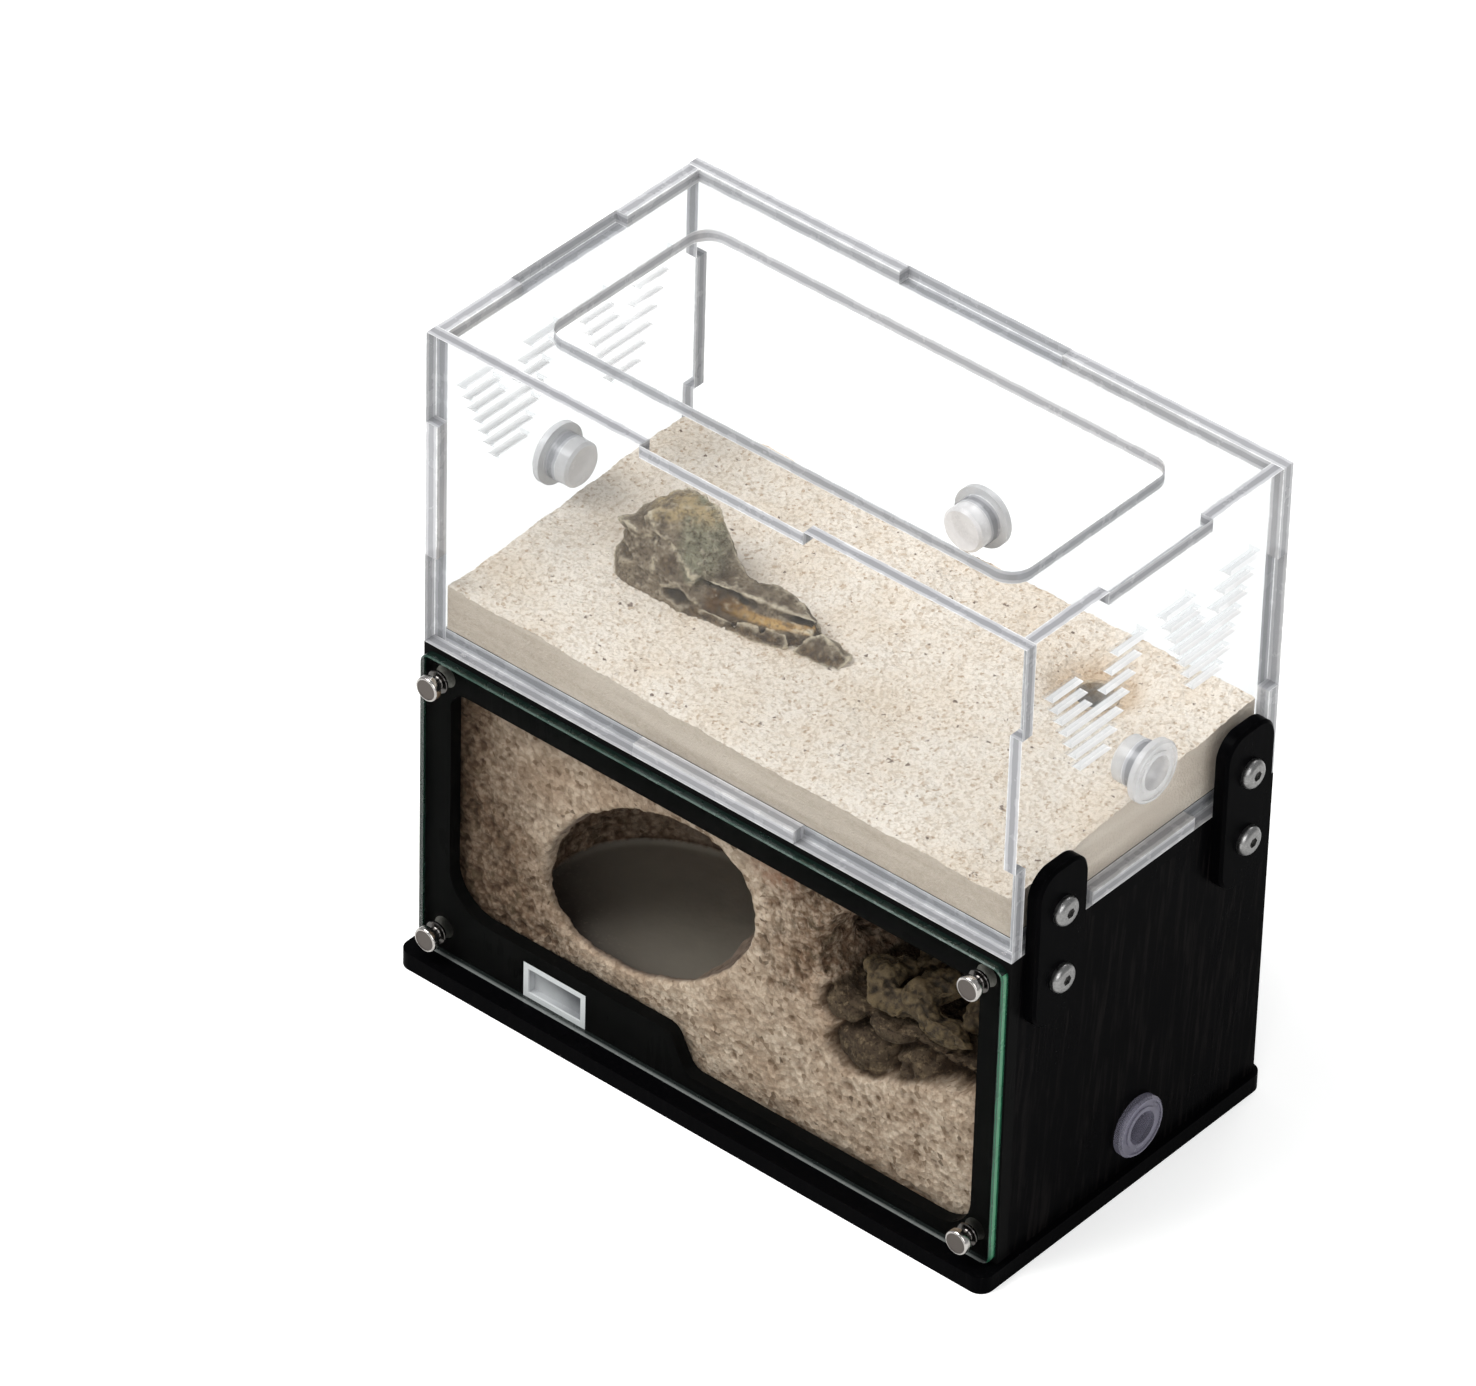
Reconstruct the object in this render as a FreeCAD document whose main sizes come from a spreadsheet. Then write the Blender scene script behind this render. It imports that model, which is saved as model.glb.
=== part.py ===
"""Two-storey ant habitat: a clear acrylic foraging box on a black nest box with a glass front.

Frame: millimetres, +Z up, +X along the length, -Y towards the glass front.
The origin is on the underside of the base plate, below the middle of the two boxes.
"""
import FreeCAD, Part

import math
import os
import re

import Sketcher

# Driving dimensions in millimetres. The spreadsheet holds each one under the same name.
SIZES = {
    # the two stacked boxes and the plate under them
    "box_length": 150.0,
    "box_depth": 80.0,
    "nest_height": 75.0,
    "outworld_height": 75.0,
    "sheet_thick": 3.0,
    "base_thick": 4.0,
    "base_overhang": 1.5,
    "base_lip": 6.0,
    "base_corner": 3.0,
    # finger joints: the length of the one tab in the middle of each edge
    "long_tab": 41.0,
    "short_tab": 31.0,
    "upright_tab": 32.0,
    "base_tab": 58.0,
    # hatch in the top of the clear box
    "hatch_margin": 16.0,
    "hatch_corner": 5.0,
    # vent grilles: rows of slots that step inwards to a V
    "vent_edge": 8.8,
    "vent_gap": 5.6,
    "vent_drop": 16.0,
    "vent_slot": 9.0,
    "vent_slit": 1.3,
    "vent_pitch": 3.6,
    "vent_step": 1.6,
    "vent_bridge": 1.8,
    # round ports and the plugs that close them
    "port_height": 24.0,
    "nest_port_height": 9.5,
    "nest_port_offset": 2.0,
    "plug_diameter": 10.0,
    "plug_clearance": 0.08,
    "plug_reach": 3.0,
    "plug_lead": 0.6,
    "flange_diameter": 13.6,
    "flange_thick": 1.8,
    "flange_round": 0.5,
    "cup_diameter": 7.4,
    "cup_depth": 3.8,
    "rib_width": 0.9,
    "rib_groove": 0.4,
    # window frame of the nest
    "window_side": 7.2,
    "window_top": 8.5,
    "window_sill": 3.2,
    "window_corner": 4.0,
    "window_foot": 8.5,
    "step_height": 11.8,
    "step_end": 65.5,
    "step_slope": 4.5,
    "step_round": 3.6,
    "step_start_round": 10.0,
    # glass pane, the magnets that hold it and the knobs outside
    "glass_thick": 2.0,
    "glass_side": 0.5,
    "glass_top": 1.2,
    "glass_corner": 2.5,
    "glass_bevel": 0.3,
    "magnet_inset": 5.8,
    "magnet_diameter": 5.0,
    "knob_diameter": 5.5,
    "knob_length": 4.0,
    "knob_bevel": 0.4,
    # clear sight window of the water tank, and the tank behind it
    "sight_start": 31.5,
    "sight_length": 16.4,
    "sight_height": 8.6,
    "sight_rim": 1.3,
    "sight_recess": 1.8,
    "tank_length": 57.0,
    "tank_depth": 15.5,
    "tank_height": 8.8,
    "tank_wall": 1.5,
    "tank_side": 1.0,
    # cast landscape in the nest
    "cast_gap": 0.2,
    "cast_setback": 1.4,
    "tank_pocket_gap": 0.6,
    "mouth_middle": 55.5,
    "mouth_height": 37.8,
    "mouth_half_length": 29.5,
    "mouth_half_height": 19.2,
    "mouth_tilt": 31.0,
    "mouth_depth": 26.0,
    "mouth_wall": 2.2,
    "room_side": 46.5,
    "room_behind": 21.0,
    "room_floor": 14.0,
    "room_half_length": 29.5,
    "room_half_depth": 24.0,
    "room_height": 44.0,
    "grotto_side": 2.0,
    "grotto_roof": 7.0,
    "grotto_half_length": 23.0,
    "grotto_half_height": 17.0,
    "grotto_depth": 42.0,
    "grotto_floor_drop": 10.0,
    "rock_length": 16.0,
    "rock_width": 12.0,
    "rock_height": 12.0,
    "tunnel_diameter": 10.0,
    "gallery_behind": 18.0,
    "port_tunnel_diameter": 12.4,
    # passage tube from the nest up through the sand
    "passage_side": 30.0,
    "passage_back": 19.0,
    "tube_outside": 10.0,
    "tube_bore": 8.0,
    "tube_clearance": 0.05,
    # sand bed, which rises towards the back
    "sand_front": 8.0,
    "sand_back": 14.5,
    "sand_gap": 0.2,
    "funnel_rim": 9.0,
    "funnel_depth": 5.0,
    # loose stone on the sand
    "stone_length": 58.0,
    "stone_width": 16.5,
    "stone_height": 17.0,
    "stone_side": 21.0,
    "stone_front": 35.0,
    "stone_turn": 1.5,
    "stone_seat": 0.2,
    # straps that join the two boxes, and their screws
    "strap_width": 15.0,
    "strap_height": 38.0,
    "strap_thick": 3.0,
    "strap_corner": 5.5,
    "strap_edge": 0.6,
    "strap_inset": 11.5,
    "screw_rise": 8.2,
    "screw_diameter": 3.0,
    "screw_clearance": 0.2,
    "screw_head": 6.4,
    "screw_head_height": 1.8,
    "screw_dome": 1.3,
    "hex_across_corners": 2.3,
    "hex_depth": 1.1,
}

# Places that several pieces share, as expressions of the sizes.
HALF_LENGTH = "box_length/2"
HALF_DEPTH = "box_depth/2"
INNER_LENGTH = "(box_length/2-sheet_thick)"
INNER_DEPTH = "(box_depth/2-sheet_thick)"
OUTWORLD_FLOOR = "(base_thick+nest_height)"
SAND_FLOOR = "(base_thick+nest_height+sheet_thick)"
SAND_MIDDLE = "(sand_front+sand_back)/2"
SAND_HALF_LENGTH = "(box_length/2-sheet_thick-sand_gap)"
SAND_HALF_DEPTH = "(box_depth/2-sheet_thick-sand_gap)"
PORT_RADIUS = "(plug_diameter/2+plug_clearance)"
THREAD_RADIUS = "screw_diameter/2"
PASSAGE_X = "(box_length/2-passage_side)"
PASSAGE_Y = "(box_depth/2-passage_back)"
TUBE_HOLE = "(tube_outside/2+tube_clearance)"
STRAP_Y = "(box_depth/2-strap_inset)"
CAST_FRONT = "(-box_depth/2+sheet_thick+cast_setback)"
MOUTH_X = "(-box_length/2+mouth_middle)"
MOUTH_Z = "(base_thick+mouth_height)"
ROOM_X = "(-box_length/2+room_side)"
ROOM_Y = "(-box_depth/2+sheet_thick+room_behind)"
ROOM_Z = "(base_thick+room_floor)"
GROTTO_X = "(box_length/2-sheet_thick-grotto_side-grotto_half_length)"
GROTTO_Z = "(base_thick+nest_height-sheet_thick-grotto_roof-grotto_half_height)"
GALLERY_Y = "(-box_depth/2+sheet_thick+gallery_behind)"

START_RADIUS = 30.0
EDGE_TOLERANCE = 0.01
BOWL_STATIONS = (0.0, 0.45, 0.8, 0.96)
UPRIGHT = FreeCAD.Vector(0, 0, 1)
DEPTHWAYS = FreeCAD.Vector(0, 1, 0)
SIDEWAYS = FreeCAD.Vector(1, 0, 0)

document = FreeCAD.newDocument("ant_habitat")
sheet = document.addObject("Spreadsheet::Sheet", "Sizes")
for row, (size_name, size_value) in enumerate(SIZES.items(), start=1):
    sheet.set("A%d" % row, size_name)
    sheet.set("B%d" % row, str(size_value))
    sheet.setAlias("B%d" % row, size_name)
document.recompute()

nodes = []


def from_sheet(text):
    """Turn size names in an expression into references to the spreadsheet."""
    return re.sub("[a-z_]+", lambda word: "Sizes." + word[0] if word[0] in SIZES else word[0], text)


def bind(item, **sizes):
    for name, text in sizes.items():
        item.setExpression(name, from_sheet(text))


def place(item, along=None, across=None, up=None):
    """Hold an object's place by expressions along X, Y and Z."""
    for axis, text in (("x", along), ("y", across), ("z", up)):
        if text is not None:
            item.setExpression("Placement.Base." + axis, from_sheet(text))


def as_node(item, name):
    item.Label = name
    nodes.append(item)
    return item


# ---------------------------------------------------------------- sketches and features

def new_body(name, is_node=True):
    body = document.addObject("PartDesign::Body", name)
    return as_node(body, name) if is_node else body


def new_sketch(body, plane, offset=None):
    """A sketch on one of the body's planes, or at an offset in front of it."""
    sketch = body.newObject("Sketcher::SketchObject", body.Name + "_sketch")
    flat = next(item for item in body.Origin.OriginFeatures if item.Role == plane)
    sketch.AttachmentSupport = (flat, [""])
    sketch.MapMode = "FlatFace"
    if offset:
        sketch.setExpression(".AttachmentOffset.Base.z", from_sheet(offset))
    return sketch


def hold(sketch, kind, geometry, point, text, start):
    """Measure a point from the sketch's origin, with the distance bound to the sheet."""
    index = sketch.addConstraint(Sketcher.Constraint(kind, -1, 1, geometry, point, start))
    sketch.setExpression("Constraints[%d]" % index, from_sheet(text))


def add_outline(sketch, corners):
    """Draw a closed polygon; each corner is a pair of expressions from the origin."""
    first = len(sketch.Geometry)
    count = len(corners)
    starts = []
    for corner in range(count):
        turn = 2 * math.pi * corner / count
        starts.append(FreeCAD.Vector(START_RADIUS * math.cos(turn), START_RADIUS * math.sin(turn), 0))
    lines = [Part.LineSegment(starts[i], starts[(i + 1) % count]) for i in range(count)]
    sketch.addGeometry(lines, False)
    constraints = []
    expressions = []
    for i in range(count):
        constraints.append(Sketcher.Constraint("Coincident", first + i, 2, first + (i + 1) % count, 1))
        for kind, text, start in zip(("DistanceX", "DistanceY"), corners[i], (starts[i].x, starts[i].y)):
            expressions.append((sketch.ConstraintCount + len(constraints), text))
            constraints.append(Sketcher.Constraint(kind, -1, 1, first + i, 1, start))
    sketch.addConstraint(constraints)
    for index, text in expressions:
        sketch.setExpression("Constraints[%d]" % index, from_sheet(text))


def add_rectangle(sketch, low_u, high_u, low_v, high_v):
    add_outline(sketch, [(low_u, low_v), (high_u, low_v), (high_u, high_v), (low_u, high_v)])


def add_circle(sketch, u, v, radius):
    index = sketch.addGeometry(
        Part.Circle(FreeCAD.Vector(1, 1, 0), FreeCAD.Vector(0, 0, 1), 1.0), False)
    hold(sketch, "DistanceX", index, 3, u, 1.0)
    hold(sketch, "DistanceY", index, 3, v, 1.0)
    size = sketch.addConstraint(Sketcher.Constraint("Radius", index, 1.0))
    sketch.setExpression("Constraints[%d]" % size, from_sheet(radius))


def pad(body, sketch, length, reverse=False):
    feature = body.newObject("PartDesign::Pad", body.Name + "_pad")
    feature.Profile = sketch
    feature.Reversed = reverse
    bind(feature, Length=length)
    return feature


def cut_through(body, sketch):
    """Pocket all the way through, on both sides of the sketch."""
    feature = body.newObject("PartDesign::Pocket", body.Name + "_pocket")
    feature.Profile = sketch
    feature.Type = "ThroughAll"
    feature.Midplane = True
    return feature


def is_along(edge, axis):
    """True for a straight edge that runs along a vector."""
    ends = [vertex.Point for vertex in edge.Vertexes]
    if len(ends) < 2:
        return False
    run = ends[1] - ends[0]
    return run.Length > EDGE_TOLERANCE and run.cross(axis).Length < EDGE_TOLERANCE * run.Length


def named_edges(feature, wanted):
    """Names of a feature's edges for which wanted(edge) is true."""
    document.recompute()
    edges = feature.Shape.Edges
    return ["Edge%d" % (i + 1) for i, edge in enumerate(edges) if wanted(edge)]


def round_edges(body, feature, radius, wanted):
    fillet = body.newObject("PartDesign::Fillet", body.Name + "_fillet")
    fillet.Base = (feature, named_edges(feature, wanted))
    bind(fillet, Radius=radius)
    return fillet


def bevel_edges(body, feature, size, wanted):
    chamfer = body.newObject("PartDesign::Chamfer", body.Name + "_chamfer")
    chamfer.Base = (feature, named_edges(feature, wanted))
    bind(chamfer, Size=size)
    return chamfer


def corner_near(axis, *places):
    """Pick the edges along an axis that pass close to the given points of a plane."""
    def wanted(edge):
        if not is_along(edge, axis):
            return False
        middle = edge.CenterOfMass
        flat = middle - axis * middle.dot(axis)
        return any((flat - place_point).Length < 1.0 for place_point in places)
    return wanted


# ---------------------------------------------------------------- laser-cut sheets

def joined_outline(low_u, high_u, low_v, high_v, **steps):
    """Corners of a sheet whose edges may carry one tab, or one notch with a negative reach.

    Each of bottom, right, top and left is given as (middle, length, reach).
    """
    corners = [(low_u, low_v)]

    def step(edge, fixed, outward, along_u, rising):
        if edge not in steps:
            return
        middle, length, reach = steps[edge]
        out = "(%s)%s(%s)" % (fixed, outward, reach)
        ends = ["%s-(%s)/2" % (middle, length), "%s+(%s)/2" % (middle, length)]
        if not rising:
            ends.reverse()
        path = [(ends[0], fixed), (ends[0], out), (ends[1], out), (ends[1], fixed)]
        corners.extend(path if along_u else [(v, u) for u, v in path])

    step("bottom", low_v, "-", True, True)
    corners.append((high_u, low_v))
    step("right", high_u, "+", False, True)
    corners.append((high_u, high_v))
    step("top", high_v, "+", True, False)
    corners.append((low_u, high_v))
    step("left", low_u, "-", False, False)
    return corners


def sheet_panel(name, plane, outline, holes=(), thickness="sheet_thick"):
    """A flat sheet with round holes, each given as (u, v, radius)."""
    body = new_body(name)
    sketch = new_sketch(body, plane)
    add_outline(sketch, outline)
    for u, v, radius in holes:
        add_circle(sketch, u, v, radius)
    pad(body, sketch, thickness)
    return body


def upright_steps(reach):
    """Tabs or notches halfway up the two upright edges of an outworld wall."""
    return ("outworld_height/2", "upright_tab", reach)


def vent_slots(body, sketch):
    """Two V-shaped grilles: level slots that step inwards and join near the foot of the V."""
    width = (SIZES["box_depth"] - 2 * SIZES["vent_edge"] - SIZES["vent_gap"]) / 2
    slot_row = 0
    while width - 2 * slot_row * SIZES["vent_step"] > SIZES["vent_slot"]:
        inset = "%d*vent_step" % slot_row
        top = "outworld_height-vent_drop-%d*vent_pitch" % slot_row
        split = width - 2 * slot_row * SIZES["vent_step"] > 2 * SIZES["vent_slot"] + SIZES["vent_bridge"]
        outer = "(box_depth/2-vent_edge-%s)" % inset
        inner = "(vent_gap/2+%s)" % inset
        if split:
            spans = [(inner, inner + "+vent_slot"), (outer + "-vent_slot", outer)]
        else:
            spans = [(inner, outer)]
        for near, far in spans:
            add_rectangle(sketch, near, far, top + "-vent_slit", top)
            add_rectangle(sketch, "-(%s)" % far, "-(%s)" % near, top + "-vent_slit", top)
        slot_row += 1
    cut_through(body, sketch)


def build_outworld():
    """The clear box: floor, four walls and a top plate with an open hatch."""
    notch = "-sheet_thick"
    level_tabs = {
        "bottom": ("0", "long_tab", "sheet_thick"), "top": ("0", "long_tab", "sheet_thick"),
        "left": ("0", "short_tab", "sheet_thick"), "right": ("0", "short_tab", "sheet_thick")}
    level_outline = joined_outline("-" + INNER_LENGTH, INNER_LENGTH, "-" + INNER_DEPTH, INNER_DEPTH,
                                   **level_tabs)
    floor = sheet_panel("outworld_floor", "XY_Plane", level_outline, [(PASSAGE_X, PASSAGE_Y, TUBE_HOLE)])
    place(floor, up=OUTWORLD_FLOOR)

    top = sheet_panel("outworld_top_plate", "XY_Plane", level_outline)
    place(top, up=OUTWORLD_FLOOR + "+outworld_height-sheet_thick")
    hatch = new_sketch(top, "XY_Plane")
    add_rectangle(hatch, "-(box_length/2-hatch_margin)", "box_length/2-hatch_margin",
                  "-(box_depth/2-hatch_margin)", "box_depth/2-hatch_margin")
    opening = cut_through(top, hatch)
    side = SIZES["box_length"] / 2 - SIZES["hatch_margin"]
    front = SIZES["box_depth"] / 2 - SIZES["hatch_margin"]
    corners = [FreeCAD.Vector(x, y, 0) for x in (-side, side) for y in (-front, front)]
    round_edges(top, opening, "hatch_corner", corner_near(UPRIGHT, *corners))

    for name, across, ports in (
            ("outworld_front_wall", "-" + INNER_DEPTH, []),
            ("outworld_back_wall", HALF_DEPTH, [("0", "port_height", PORT_RADIUS)])):
        outline = joined_outline(
            "-" + HALF_LENGTH, HALF_LENGTH, "0", "outworld_height",
            bottom=("0", "long_tab", notch), top=("0", "long_tab", notch),
            left=upright_steps(notch), right=upright_steps(notch))
        wall = sheet_panel(name, "XZ_Plane", outline, ports)
        place(wall, across=across, up=OUTWORLD_FLOOR)

    for name, along, screws in (
            ("outworld_left_wall", "-" + HALF_LENGTH, []),
            ("outworld_right_wall", INNER_LENGTH,
             [(side_sign + STRAP_Y, "screw_rise", THREAD_RADIUS) for side_sign in ("-", "")])):
        outline = joined_outline(
            "-" + INNER_DEPTH, INNER_DEPTH, "0", "outworld_height",
            bottom=("0", "short_tab", notch), top=("0", "short_tab", notch),
            left=upright_steps("sheet_thick"), right=upright_steps("sheet_thick"))
        wall = sheet_panel(name, "YZ_Plane", outline, [("0", "port_height", PORT_RADIUS)] + screws)
        vent_slots(wall, new_sketch(wall, "YZ_Plane"))
        place(wall, along=along, up=OUTWORLD_FLOOR)


# ---------------------------------------------------------------- nest box

def build_base_plate():
    """Plate under the nest, wider than the box, with slots that take the panels' lower tabs."""
    body = new_body("base_plate")
    outline = new_sketch(body, "XY_Plane")
    add_rectangle(outline, "-(box_length/2+base_overhang)", "box_length/2+base_overhang",
                  "-(box_depth/2+base_lip)", "box_depth/2+base_overhang")
    plate = pad(body, outline, "base_thick")
    round_edges(body, plate, "base_corner", lambda edge: is_along(edge, UPRIGHT))
    slots = new_sketch(body, "XY_Plane")
    add_rectangle(slots, "-long_tab/2", "long_tab/2", INNER_DEPTH, HALF_DEPTH)
    for low, high in (("-" + HALF_LENGTH, "-" + INNER_LENGTH), (INNER_LENGTH, HALF_LENGTH)):
        add_rectangle(slots, low, high, "-base_tab/2", "base_tab/2")
    cut_through(body, slots)


def build_nest_panels():
    notch = "-sheet_thick"
    tab = "sheet_thick"
    upright = ("nest_height/2", "upright_tab")
    back_outline = joined_outline(
        "-" + HALF_LENGTH, HALF_LENGTH, "0", "nest_height",
        bottom=("0", "long_tab", "base_thick"), top=("0", "long_tab", notch),
        left=upright + (notch,), right=upright + (notch,))
    back = sheet_panel("nest_back_panel", "XZ_Plane", back_outline)
    place(back, across=HALF_DEPTH, up="base_thick")

    side_outline = joined_outline(
        "-" + INNER_DEPTH, INNER_DEPTH, "0", "nest_height",
        bottom=("0", "base_tab", "base_thick"), top=("0", "short_tab", notch),
        right=upright + (tab,))
    port = ("nest_port_offset", "nest_port_height", PORT_RADIUS)
    screws = [(sign + STRAP_Y, "nest_height-screw_rise", THREAD_RADIUS) for sign in ("-", "")]
    left = sheet_panel("nest_left_panel", "YZ_Plane", side_outline)
    right = sheet_panel("nest_right_panel", "YZ_Plane", side_outline, [port] + screws)
    place(left, along="-" + HALF_LENGTH, up="base_thick")
    place(right, along=INNER_LENGTH, up="base_thick")

    top_outline = joined_outline(
        "-" + INNER_LENGTH, INNER_LENGTH, "-" + INNER_DEPTH, INNER_DEPTH,
        top=("0", "long_tab", tab), left=("0", "short_tab", tab), right=("0", "short_tab", tab))
    top = sheet_panel("nest_top_plate", "XY_Plane", top_outline, [(PASSAGE_X, PASSAGE_Y, TUBE_HOLE)])
    place(top, up="base_thick+nest_height-sheet_thick")


def magnet_places():
    """Where the four magnets sit on the frame, as (name, x, z) expressions."""
    for side, x in (("left", "-(box_length/2-magnet_inset)"), ("right", "box_length/2-magnet_inset")):
        for level, z in (("top", "nest_height-magnet_inset"), ("bottom", "magnet_inset")):
            yield level + "_" + side, x, z


def build_front_frame():
    """Window frame with a raised part that hides the water tank, a notch and magnet holes."""
    body = new_body("front_frame")
    outline = new_sketch(body, "XZ_Plane")
    add_outline(outline, [
        ("-box_length/2", "0"), ("-sight_start-sight_length", "0"),
        ("-sight_start-sight_length", "sight_height"), ("-sight_start", "sight_height"),
        ("-sight_start", "0"), ("box_length/2", "0"),
        ("box_length/2", "nest_height"), ("-box_length/2", "nest_height")])
    pad(body, outline, "sheet_thick")

    window = new_sketch(body, "XZ_Plane")
    left, right = "-box_length/2+window_side", "box_length/2-window_side"
    step_x = "-box_length/2+step_end"
    add_outline(window, [
        (left, "step_height"), (step_x, "step_height"), (step_x + "+step_slope", "window_sill"),
        (right, "window_sill"), (right, "nest_height-window_top"), (left, "nest_height-window_top")])
    opening = cut_through(body, window)

    side = SIZES["box_length"] / 2 - SIZES["window_side"]
    top = SIZES["nest_height"] - SIZES["window_top"]
    step_edge = SIZES["step_end"] - SIZES["box_length"] / 2
    for radius, places in (
            ("window_corner", [(-side, top), (side, top)]),
            ("window_foot", [(side, SIZES["window_sill"])]),
            ("step_start_round", [(-side, SIZES["step_height"])]),
            ("step_round", [(step_edge, SIZES["step_height"]),
                            (step_edge + SIZES["step_slope"], SIZES["window_sill"])])):
        points = [FreeCAD.Vector(x, 0, z) for x, z in places]
        opening = round_edges(body, opening, radius, corner_near(DEPTHWAYS, *points))

    seats = new_sketch(body, "XZ_Plane")
    for _, x, z in magnet_places():
        add_circle(seats, x, z, "magnet_diameter/2")
    cut_through(body, seats)
    place(body, across="-" + INNER_DEPTH, up="base_thick")


def build_magnets():
    magnets = []
    for name, x, z in magnet_places():
        magnet = document.addObject("Part::Cylinder", "magnet_" + name)
        bind(magnet, Radius="magnet_diameter/2", Height="sheet_thick")
        magnet.Placement.Rotation = FreeCAD.Rotation(SIDEWAYS, 90)
        place(magnet, x, "-" + INNER_DEPTH, "base_thick+" + z)
        magnets.append(magnet)
    group = document.addObject("Part::Compound", "frame_magnets")
    group.Links = magnets
    as_node(group, "frame_magnets")


def build_glass_and_knobs():
    glass = new_body("glass_pane")
    outline = new_sketch(glass, "XZ_Plane")
    add_rectangle(outline, "-(box_length/2-glass_side)", "box_length/2-glass_side",
                  "0", "nest_height-glass_top")
    pane = pad(glass, outline, "glass_thick")
    rounded = round_edges(glass, pane, "glass_corner", lambda edge: is_along(edge, DEPTHWAYS))
    bevel_edges(glass, rounded, "glass_bevel",
                lambda edge: not is_along(edge, DEPTHWAYS)
                and abs(edge.CenterOfMass.y + SIZES["glass_thick"]) < EDGE_TOLERANCE)
    place(glass, across="-" + HALF_DEPTH, up="base_thick")

    for name, x, z in magnet_places():
        knob = new_body("knob_" + name)
        disc = new_sketch(knob, "XZ_Plane")
        add_circle(disc, "0", "0", "knob_diameter/2")
        stub = pad(knob, disc, "knob_length")
        bevel_edges(knob, stub, "knob_bevel",
                    lambda edge: abs(edge.CenterOfMass.y + SIZES["knob_length"]) < EDGE_TOLERANCE)
        place(knob, x, "-(box_depth/2+glass_thick)", "base_thick+" + z)


def build_water_tank():
    """Open tray behind the raised part of the frame, with a clear sight window in the notch."""
    tank = new_body("water_tank")
    floor_plan = new_sketch(tank, "XY_Plane")
    add_rectangle(floor_plan, "0", "tank_length", "0", "tank_depth")
    pad(tank, floor_plan, "tank_height")
    hollow = new_sketch(tank, "XY_Plane", "tank_wall")
    add_rectangle(hollow, "tank_wall", "tank_length-tank_wall", "tank_wall", "tank_depth-tank_wall")
    cavity = tank.newObject("PartDesign::Pocket", "tank_hollow")
    cavity.Profile = hollow
    cavity.Type = "ThroughAll"
    cavity.Reversed = True
    place(tank, "-" + INNER_LENGTH + "+tank_side", "-" + INNER_DEPTH, "base_thick")

    sight = new_body("sight_window")
    face = new_sketch(sight, "XZ_Plane")
    add_rectangle(face, "-sight_start-sight_length", "-sight_start", "0", "sight_height")
    pad(sight, face, "sheet_thick")
    dish = new_sketch(sight, "XZ_Plane", "sheet_thick")
    add_rectangle(dish, "-sight_start-sight_length+sight_rim", "-sight_start-sight_rim",
                  "sight_rim", "sight_height-sight_rim")
    recess = sight.newObject("PartDesign::Pocket", "sight_recess")
    recess.Profile = dish
    bind(recess, Length="sight_recess")
    place(sight, across="-" + INNER_DEPTH, up="base_thick")


# ---------------------------------------------------------------- nest landscape

def block(name, length, depth, height, along, across, up):
    box = document.addObject("Part::Box", name)
    bind(box, Length=length, Width=depth, Height=height)
    place(box, along, across, up)
    return box


def bowl(name, half_length, half_height, reach, centre, tilt=0.0, upward=False):
    """A hollow of ellipses that shrink towards its far end, lofted backwards or upwards."""
    facing = FreeCAD.Rotation() if upward else FreeCAD.Rotation(SIDEWAYS, 90)
    x, y, z = centre
    rings = []
    for number, share in enumerate(BOWL_STATIONS):
        left_over = math.sqrt(1 - share ** 2)
        onward = "+%.2f*%s" % (share, reach)
        ring = document.addObject("Part::Ellipse", "%s_ring_%d" % (name, number))
        bind(ring, MajorRadius="%.4f*%s" % (left_over, half_length),
             MinorRadius="%.4f*%s" % (left_over, half_height))
        ring.Placement.Rotation = facing.multiply(FreeCAD.Rotation(UPRIGHT, tilt))
        place(ring, x, y if upward else y + onward, z + onward if upward else z)
        rings.append(ring)
    loft = document.addObject("Part::Loft", name)
    loft.Sections = rings
    loft.Solid = True
    return loft


def common(name, base, tool):
    """What two solids share."""
    shared = document.addObject("Part::Common", name)
    shared.Base, shared.Tool = base, tool
    return shared


def bore(name, diameter, length, start, direction=(0, 0, 1)):
    """A round hole's core, from a start point along a direction."""
    core = document.addObject("Part::Cylinder", name)
    bind(core, Radius="(%s)/2" % diameter, Height=length)
    core.Placement.Rotation = FreeCAD.Rotation(UPRIGHT, FreeCAD.Vector(*direction))
    place(core, *start)
    return core


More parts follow.
